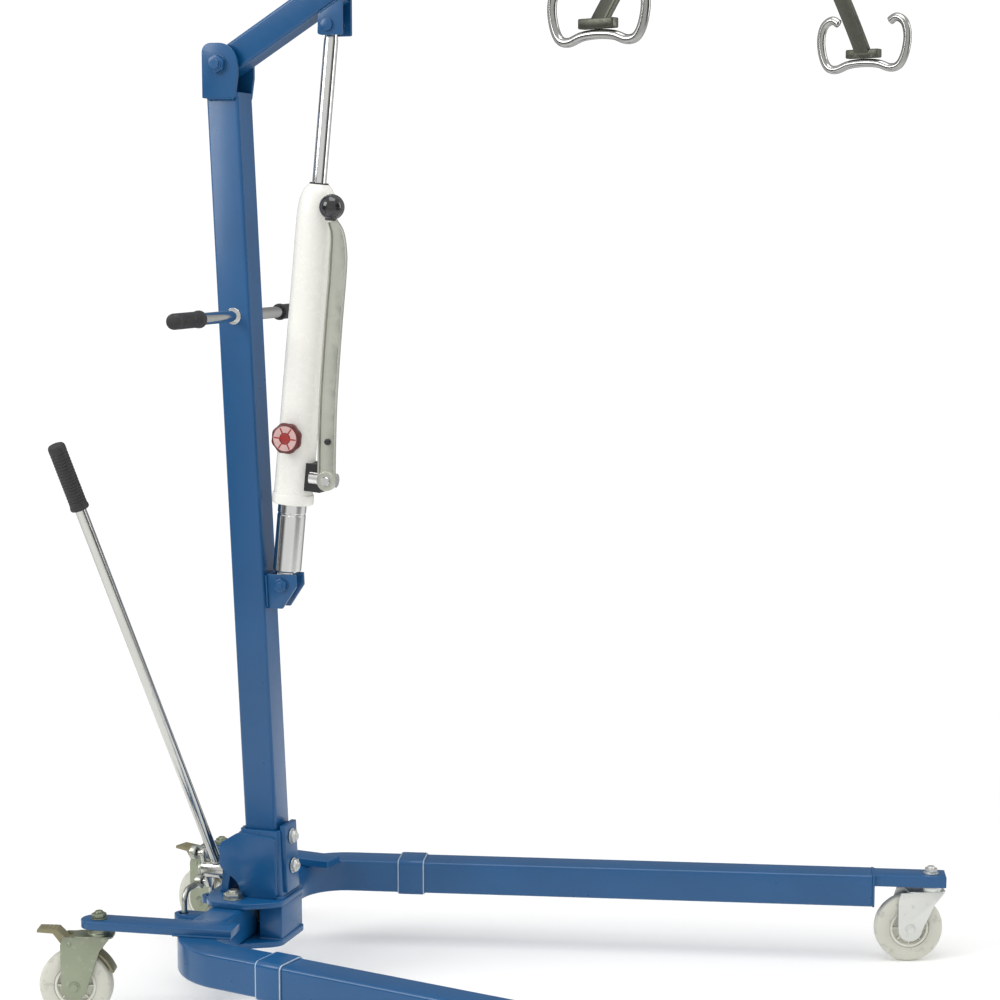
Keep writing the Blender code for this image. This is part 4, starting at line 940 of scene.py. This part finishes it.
def make_spreader():
    boss_half, boss_r = 0.018, 0.02
    boss_low = -SPREADER_DROP - boss_half
    eye = ring(0.0063, 0.015, -0.01, 0.01, "Y", edge=0.0014, segments=48)
    stem = [(0.0, -0.2), (0.0105, -0.1995), (0.0155, -0.1955), (0.017, -0.19), (0.017, boss_low - GAP - 0.001),
            (0.016, boss_low - GAP), (0.01, boss_low - GAP), (0.01, -0.03), (0.0115, -0.026), (0.01, -0.022),
            (0.0092, -0.0135), (0.0, -0.013)]
    dress("swivel_link", join(eye, turned(stem, 48)), HANGER)

    start, end = Vector((0.014, -SPREADER_DROP)), Vector((SPREADER_HALF, -HOOK_DROP + 0.0205))
    chord = end - start
    bow = radians(9.0)
    radius = chord.length / (2 * sin(bow))
    chord_angle = atan2(chord.y, chord.x)
    centre = (start + end) / 2 + Vector((sin(chord_angle), -cos(chord_angle))) * radius * cos(bow)
    first = degrees(atan2(start.y - centre.y, start.x - centre.x))
    right = arc(centre, radius, first, first - degrees(2 * bow), 20)
    path = [(0, -y, z) for y, z in reversed(right)] + [(0, y, z) for y, z in right]
    parts = [swept(frames_along(path, (1, 0, 0)), rounded_rect(0.01, 0.024, 0.003, 5))]
    parts.append(ring(0.0104, boss_r, boss_low, boss_low + 2 * boss_half, edge=0.0016, segments=56))
    foot_low = -HOOK_DROP + 0.0145
    for side in (-1, 1):
        y = side * SPREADER_HALF
        parts.append(bevelled(block((-0.026, y - 0.007, foot_low), (0.026, y + 0.007, foot_low + 0.0125)),
                              0.0018, 3))
        parts.append(weld([(-0.0055, y - side * 0.0068, foot_low + 0.0128),
                           (0.0055, y - side * 0.0068, foot_low + 0.0128)], 0.0016))
        arm_y, arm_z = side * 0.019, -SPREADER_DROP
        parts.append(weld([(0.0052, arm_y, arm_z + 0.01), (0.0052, arm_y, arm_z - 0.012)], 0.0016))
    dress("spreader_bar", join(*parts), SPREADER)

    half_points = [(0.0, 0.008), (0.024, 0.006), (0.043, 0.0), (0.057, 0.003), (0.066, 0.018), (0.07, 0.042),
                   (0.065, 0.062), (0.052, 0.07), (0.04, 0.064)]
    points = [(-x, 0, z) for x, z in reversed(half_points[1:])] + [(x, 0, z) for x, z in half_points]
    for tag, side in SIDES:
        path = [point + Vector((0, side * SPREADER_HALF, -HOOK_DROP)) for point in smooth_path(points, 7)]
        dress("sling_hook_" + tag, round_bar(path, 0.006, 24), SPREADER, HOOK_CHROME)


# ---- Jack --------------------------------------------------------------------------------------------
PUMP_S = 0.161
PUMP_BOSS_Y = -0.012
HANDLE_Y = -0.0266
BALL_R = 0.018


def make_jack():
    foot = bevelled(cheek(arc((0, 0), 0.011, 180, 360, 24) + [(0.011, 0.024), (-0.011, 0.024)], 0.0, 0.0228),
                    0.0012, 3, 50)
    barrel = [(0.0, 0.0185), (0.0185, 0.0185), (0.0205, 0.0205), (0.0205, 0.101), (0.0198, 0.102),
              (0.0198, 0.1045), (0.0205, 0.1055), (0.0205, 0.1177), (0.0, 0.1177)]
    dress("jack_lower_tube", join(foot, turned(barrel, 64)), JACK)

    body = [(0.0, 0.118), (0.0282, 0.118), (0.0296, 0.1188), (0.03, 0.1204), (0.03, 0.1304), (0.0294, 0.1325),
            (0.0282, 0.1335), (JACK_R, 0.135), (JACK_R, 0.528), (0.0276, 0.538), (0.0266, 0.548),
            (0.0248, 0.557), (0.0222, 0.5645), (0.019, 0.57), (0.0164, 0.5725), (0.015, 0.575), (0.0105, 0.575),
            (0.0105, 0.165), (0.0, 0.165)]
    dress("jack_body", turned(body, 80), JACK)
    wiper = ring(0.01045, 0.0136, 0.5738, 0.5772, edge=0.0007, segments=48)
    piece("jack_wiper", wiper, JACK, LOOKS["grip_black"], "jack", "grip_black")

    reach = JACK_LENGTH
    eye = ring(0.0052, 0.012, -0.01, 0.01, "Y", (0, 0, reach), 0.001, 48)
    bar = [(0.0, 0.33), (0.01, 0.33), (0.01, reach - 0.02), (0.0092, reach - 0.016), (0.0092, reach - 0.0085),
           (0.0, reach - 0.008)]
    dress("piston_rod", join(eye, turned(bar, 48)), JACK)

    half, front = 0.017, 0.047
    pump = block((0.0222, -half, PUMP_S - 0.02), (front, half, PUMP_S + 0.02))
    groove = rod(0.0108, 0.0292, 0.1, "X", (0, PUMP_BOSS_Y, PUMP_S), 40)
    cut(pump, rod(JACK_R + GAP, 0.1, 0.2, segments=64), groove)
    plug = hexagon(0.006, PUMP_S + 0.0198, PUMP_S + 0.0235, at=(0.038, 0.006, 0))
    dress("pump_block", join(bevelled(pump, 0.0012, 3, 45), plug), JACK, CAST_BLACK)
    boss = [(0.0, 0.0295), (0.01, 0.0295), (0.0105, 0.03), (0.0105, 0.0455), (0.01, 0.0462), (0.01, 0.048),
            (0.0105, 0.0487), (0.0105, 0.069), (0.0095, 0.07), (0.0, 0.07)]
    pin = [(0.0, -0.033), (0.0056, -0.033), (0.0065, -0.0322), (0.0065, -0.0305), (0.004, -0.0305),
           (0.004, -0.016), (0.0, -0.016)]
    boss = join(turned(boss, 48, "X", (0, PUMP_BOSS_Y, PUMP_S)), turned(pin, 32, "Y", (0.06, 0, PUMP_S)))
    dress("pump_boss", boss, JACK)
    make_handle()
    make_release_knob()


def make_handle():
    """A pressed channel strip with its flanges towards the jack's far side."""
    path = [(0.0, HANDLE_Y, 0.0), (-0.004, HANDLE_Y, 0.05), (-0.008, HANDLE_Y, 0.12), (-0.01, HANDLE_Y, 0.22),
            (-0.01, HANDLE_Y - 0.001, 0.3), (-0.013, -0.03, 0.345), (-0.021, -0.034, 0.366)]
    steps = smooth_path(path, 7)
    outline = [(-0.013, -0.0036), (0.013, -0.0036), (0.013, 0.0036), (0.0106, 0.0036), (0.0096, -0.0008),
               (-0.0096, -0.0008), (-0.0106, 0.0036), (-0.013, 0.0036)]
    outline = [(u, -v) for u, v in soften(outline, 0.0011, 3)]
    stations = []
    for index, point in enumerate(steps):
        behind, ahead = steps[max(index - 1, 0)], steps[min(index + 1, len(steps) - 1)]
        tangent = (ahead - behind).normalized()
        side = Vector((0, 1, 0)).cross(tangent).normalized()
        left = len(steps) - 1 - index
        narrow = 1.0 if left > 12 else 0.5 + 0.5 * (left / 12.0)
        stations.append((point, side * narrow, tangent.cross(side)))
    strip = swept(stations, outline)
    eye = ring(0.0043, 0.014, HANDLE_Y - 0.0036, HANDLE_Y + 0.0036, "Y", edge=0.0009, segments=48)
    dress("pump_handle", join(strip, eye), PUMP, STEEL_STRIP, 35)
    rivet_at = (-0.0035, HANDLE_Y - 0.001, 0.056)
    rivet = soft_turned([(0.0, -0.003), (0.003, -0.0028), (0.0046, -0.001), (0.0046, 0.0015), (0.0, 0.0015)],
                        0.0006, 2, 28, "Y", rivet_at)
    piece("pump_handle_rivet", rivet, PUMP, CAST_BLACK, "pump_lever", "zinc")
    top = steps[-1]
    centre = top + Vector((-0.002, -0.003, 0.0195))
    ball = [(BALL_R * sin(a), -BALL_R * cos(a)) for a in (radians(7.5 * k) for k in range(25))]
    ball[0], ball[-1] = (0.0, -BALL_R), (0.0, BALL_R)
    neck = soft_turned([(0.0, -0.019), (0.0078, -0.019), (0.0086, -0.016), (0.007, -0.014), (0.0, -0.014)],
                       0.0006, 2, 32, "Z", centre)
    seam = turned([(0.01795, -0.0003), (0.01808, 0.0), (0.01795, 0.0003), (0.017, 0.0)], 48, "Z", centre)
    dress("pump_knob", join(turned(ball, 48, "Z", centre), neck, seam), PUMP, GLOSS_BLACK, 40)


def make_release_knob():
    """A scalloped hand wheel with a pale rim face and a red middle."""
    def scallop(angle, radius):
        return radius - (0.0013 * (0.5 + 0.5 * cos(8 * angle)) if radius > 0.0195 else 0.0)

    wheel = [(0.0, 0.0), (0.0095, 0.0), (0.01, -0.0006), (0.01, -0.0045), (0.02, -0.0062), (0.0219, -0.008),
             (0.0225, -0.0105), (0.0225, -0.0165), (0.0216, -0.0188), (0.0199, -0.02), (0.0, -0.02)]
    dress("release_knob", turned(wheel, 96, "Y", ripple=scallop), VALVE, sharp_deg=40)
    rim = [(0.0082, -0.0197), (0.0178, -0.0197), (0.0176, -0.0206), (0.0086, -0.0206)]
    rim = turned(soften(rim, 0.0003, 2), 72, "Y")
    piece("release_knob_rim", rim, VALVE, RING_PINK, "release_valve", "knob_red")
    core = soft_turned([(0.0, -0.0195), (0.0076, -0.0195), (0.0072, -0.0207), (0.004, -0.0209), (0.0, -0.0209)],
                       0.0004, 2, 48, "Y")
    spokes = [moved(bevelled(block((0.0065, -0.0208, -0.0011), (0.017, -0.0198, 0.0011)), 0.0003, 2),
                    turn(radians(60 * k), "Y")) for k in range(6)]
    piece("release_knob_core", join(core, *spokes), VALVE, BRIGHT_RED, "release_valve", "knob_red")


# ---- Spreading lever ----------------------------------------------------------------------------------
def make_lever():
    crown = arc((0.0, AXLE_Z - MAST_FOOT_Z), 0.016, 0, 180, 20)
    outline = [(-0.024, 0.0), (0.024, 0.0), (0.024, 0.01)] + crown + [(-0.024, 0.01)]
    upright = turn(pi / 2, "Z") @ turn(pi / 2, "X")
    bracket = bevelled(prism(outline, -0.006, 0.006), 0.001, 3, 50)
    moved(bracket, at_place((-0.069, 0, MAST_FOOT_Z)) @ upright)
    foot = MAST_FOOT_Z + 0.001
    bead = weld([(-0.0756, -0.022, foot), (-0.0756, 0.022, foot)], 0.002)
    dress("lever_bracket", join(bracket, bead), HOIST)
    at = (0, 0, AXLE_Z)
    axle = [rod(0.008, -0.115, -0.057, "X", at, 36), hexagon(0.0098, -0.0615, -0.0562, "X", at, 8),
            ring(0.0078, 0.0104, -0.1152, -0.1137, "X", at), hexagon(0.0092, -0.119, -0.1152, "X", at, 20)]
    dress("lever_axle", join(*axle), HOIST)

    outline = arc((0, CRANK_R), 0.0085, 0, 180, 16) + arc((0, -CRANK_R), 0.0085, 180, 360, 16)
    plate = moved(bevelled(prism(outline, -0.003, 0.003), 0.0008, 3, 50), at_place((-0.109, 0, 0)) @ upright)
    hub = ring(0.0083, 0.014, -0.1125, -0.0765, "X", edge=0.0012, segments=48)
    bottom = Vector((-0.09, 0.0, 0.006))
    along = Vector((-sin(LEVER_RAKE), 0, cos(LEVER_RAKE)))
    arm_points = [bottom + along * reach for reach in (0.006, 0.3, LEVER_LENGTH)]
    arm = round_bar(arm_points, LEVER_R, 36, False)
    bead = weld([bottom + along * 0.0085 + Vector((cos(a) * 0.0082, sin(a) * 0.0082, 0))
                 for a in (radians(30 * k) for k in range(12))], 0.0018, closed=True)
    pins = [rod(0.004, -0.132, -0.109, "X", (0, 0, side * CRANK_R), 24) for side in (-1, 1)]
    clips = [ring(0.0038, 0.0066, -0.1306, -0.1294, "X", (0, 0, side * CRANK_R), 0.0003, 28)
             for side in (-1, 1)]
    dress("shift_lever", join(plate, hub, arm, bead, *pins, *clips), LEVER, LEVER_CHROME)
    grip = rubber_grip(LEVER_GRIP_BORE + 0.0045, 0.0125, 0.0134, LEVER_R + GAP, LEVER_GRIP_BORE + GAP, 17)
    mouth = bottom + along * (LEVER_LENGTH - LEVER_GRIP_BORE)
    dress("lever_grip", grip, LEVER @ at_place(mouth) @ turn(-LEVER_RAKE, "Y"))


def make_ties():
    tie_x = LUG_X + 0.0009
    reach = CRANK_R * sin(CRANK_ANGLE)
    height = CRANK_R * (1 + cos(CRANK_ANGLE)) / 2
    bend = 0.016
    for tag, side in SIDES:
        eye_y, eye_z = -side * reach, AXLE_Z + side * height
        bend_at = (side * (LEG_PIVOT.y - bend), eye_z - bend)
        path = [(tie_x, eye_y + side * 0.0075, eye_z)]
        path += [(tie_x, bend_at[0] + side * bend * sin(a), bend_at[1] + bend * cos(a))
                 for a in (radians(9 * k) for k in range(11))]
        path.append((tie_x, side * LEG_PIVOT.y, 0.098))
        bar = round_bar(path, 0.0045, 24)
        eye = ring(0.0063, 0.0105, -0.004, 0.004, "X", (tie_x, eye_y, eye_z), 0.0008, 36)
        dress("tie_rod_" + tag, join(bar, eye), HOIST)


make_hub()
make_mast()
make_push_bar()
make_mast_head()
make_jack_bracket()
for leg_tag, leg_side in SIDES:
    make_leg(leg_tag, HOIST @ FLIPS[leg_side])
make_casters()
make_boom()
make_spreader()
make_jack()
make_lever()
make_ties()


# ---- Stage ---------------------------------------------------------------------------------------
WHITE = (1.0, 1.0, 1.0, 1.0)
FLOOR_RADIUS = 9.0
FLOOR_SOLID = 1.2       # the floor is whole out to here
FLOOR_GONE = 2.6        # and has faded out by here
LENS = 82.16            # mm, as is the sensor
SENSOR = 36.0
CAMERA_AT = (0.9955, -3.0114, 1.128)
CAMERA_TILT = radians(83.025)
CAMERA_TURN = radians(17.983)
BACKDROP = 1.05         # strength of the white that the camera sees
AMBIENT = 0.7           # of the even light on the object
STUDIO_LEVEL = 0.8      # and of what its gloss reflects
# Dark flags: azimuth, elevation, angle within which each is full, angle at which it ends, strength
FLAGS = [(*(radians(angle) for angle in angles), strength) for angles, strength in (
    ((-8, 2, 12, 36), 0.1), ((-140, 4, 10, 34), 0.12), ((108, 6, 24, 62), 0.3))]
# Softboxes: name, place, target, width, height, watts
SOFTBOXES = (
    ("softbox_right", (3.2, 0.9, 1.9), (-0.2, 0.0, 0.9), 0.9, 2.6, 22.0),
    ("softbox_left", (-2.6, -2.4, 2.6), (-0.2, 0.0, 0.7), 1.8, 1.8, 55.0),
    ("softbox_top", (0.2, -0.6, 4.0), (0.0, 0.0, 0.5), 2.2, 2.2, 45.0),
)


def make_floor():
    """A pale round floor that fades out before its rim."""
    builder = bmesh.new()
    bmesh.ops.create_circle(builder, cap_ends=True, radius=FLOOR_RADIUS, segments=96)
    bmesh.ops.recalc_face_normals(builder, faces=builder.faces)
    floor = object_from(builder, "floor")
    material, tree, shader = new_material("floor_paper", (0.9, 0.9, 0.89), 0.9, 0.0)
    place = tree.object_place()
    roughness = tree.remapped(tree.noise(place, 60.0, 4.0), 0.3, 0.7, 0.84, 0.94)
    tree.put(shader, {"Specular IOR Level": 0.1, "Emission Color": WHITE, "Emission Strength": 0.1,
                      "Roughness": roughness})
    reach = tree.add("VectorMath", {0: place}, operation="LENGTH").outputs["Value"]
    fade = tree.remapped(reach, FLOOR_SOLID, FLOOR_GONE, 0.0, 1.0)
    clear = tree.add("BsdfTransparent").outputs["BSDF"]
    tree.mixed_shader(fade, shader.outputs["BSDF"], clear, tree.nodes["Material Output"])
    floor.data.materials.append(material)


def make_world():
    """White to the eye and for diffuse light; a studio with three dark flags for reflections."""
    world = bpy.data.worlds.new("studio")
    bpy.context.scene.world = world
    tree = Tree(world)
    tree.nodes.clear()
    output = tree.add("OutputWorld")
    rays = tree.add("LightPath").outputs
    even = tree.remapped(rays["Is Camera Ray"], 0.0, 1.0, AMBIENT, BACKDROP)
    ray = tree.add("TexCoord").outputs["Generated"]
    light = None
    for azimuth, elevation, inner, outer, darkness in FLAGS:
        direction = Vector((1, 0, 0))
        direction.rotate(Euler((0, -elevation, azimuth)))
        dot = tree.add("VectorMath", {0: ray, 1: direction}, operation="DOT_PRODUCT").outputs["Value"]
        level = tree.remapped(dot, cos(outer), cos(inner), STUDIO_LEVEL if light is None else 1.0, darkness,
                              interpolation_type="SMOOTHSTEP")
        light = level if light is None else tree.add("Math", {0: light, 1: level},
                                                     operation="MULTIPLY").outputs["Value"]
    whites = [tree.add("Background", {"Color": WHITE, "Strength": strength}).outputs["Background"]
              for strength in (even, light)]
    tree.mixed_shader(rays["Is Glossy Ray"], *whites, output)


def softbox(name, place, target, width, height, power):
    light = bpy.data.lights.new(name, "AREA")
    light.shape = "RECTANGLE"
    light.size = width
    light.size_y = height
    light.energy = power
    linked(name, light, place, (Vector(target) - Vector(place)).to_track_quat("-Z", "Y").to_euler())


def make_camera():
    camera = bpy.data.cameras.new("camera")
    camera.lens = LENS
    camera.sensor_width = SENSOR
    bpy.context.scene.camera = linked("camera", camera, CAMERA_AT, (CAMERA_TILT, 0.0, CAMERA_TURN))


def make_stage():
    make_floor()
    make_world()
    make_camera()
    bpy.context.scene.view_settings.view_transform = "Standard"
    for box in SOFTBOXES:
        softbox(*box)


make_stage()
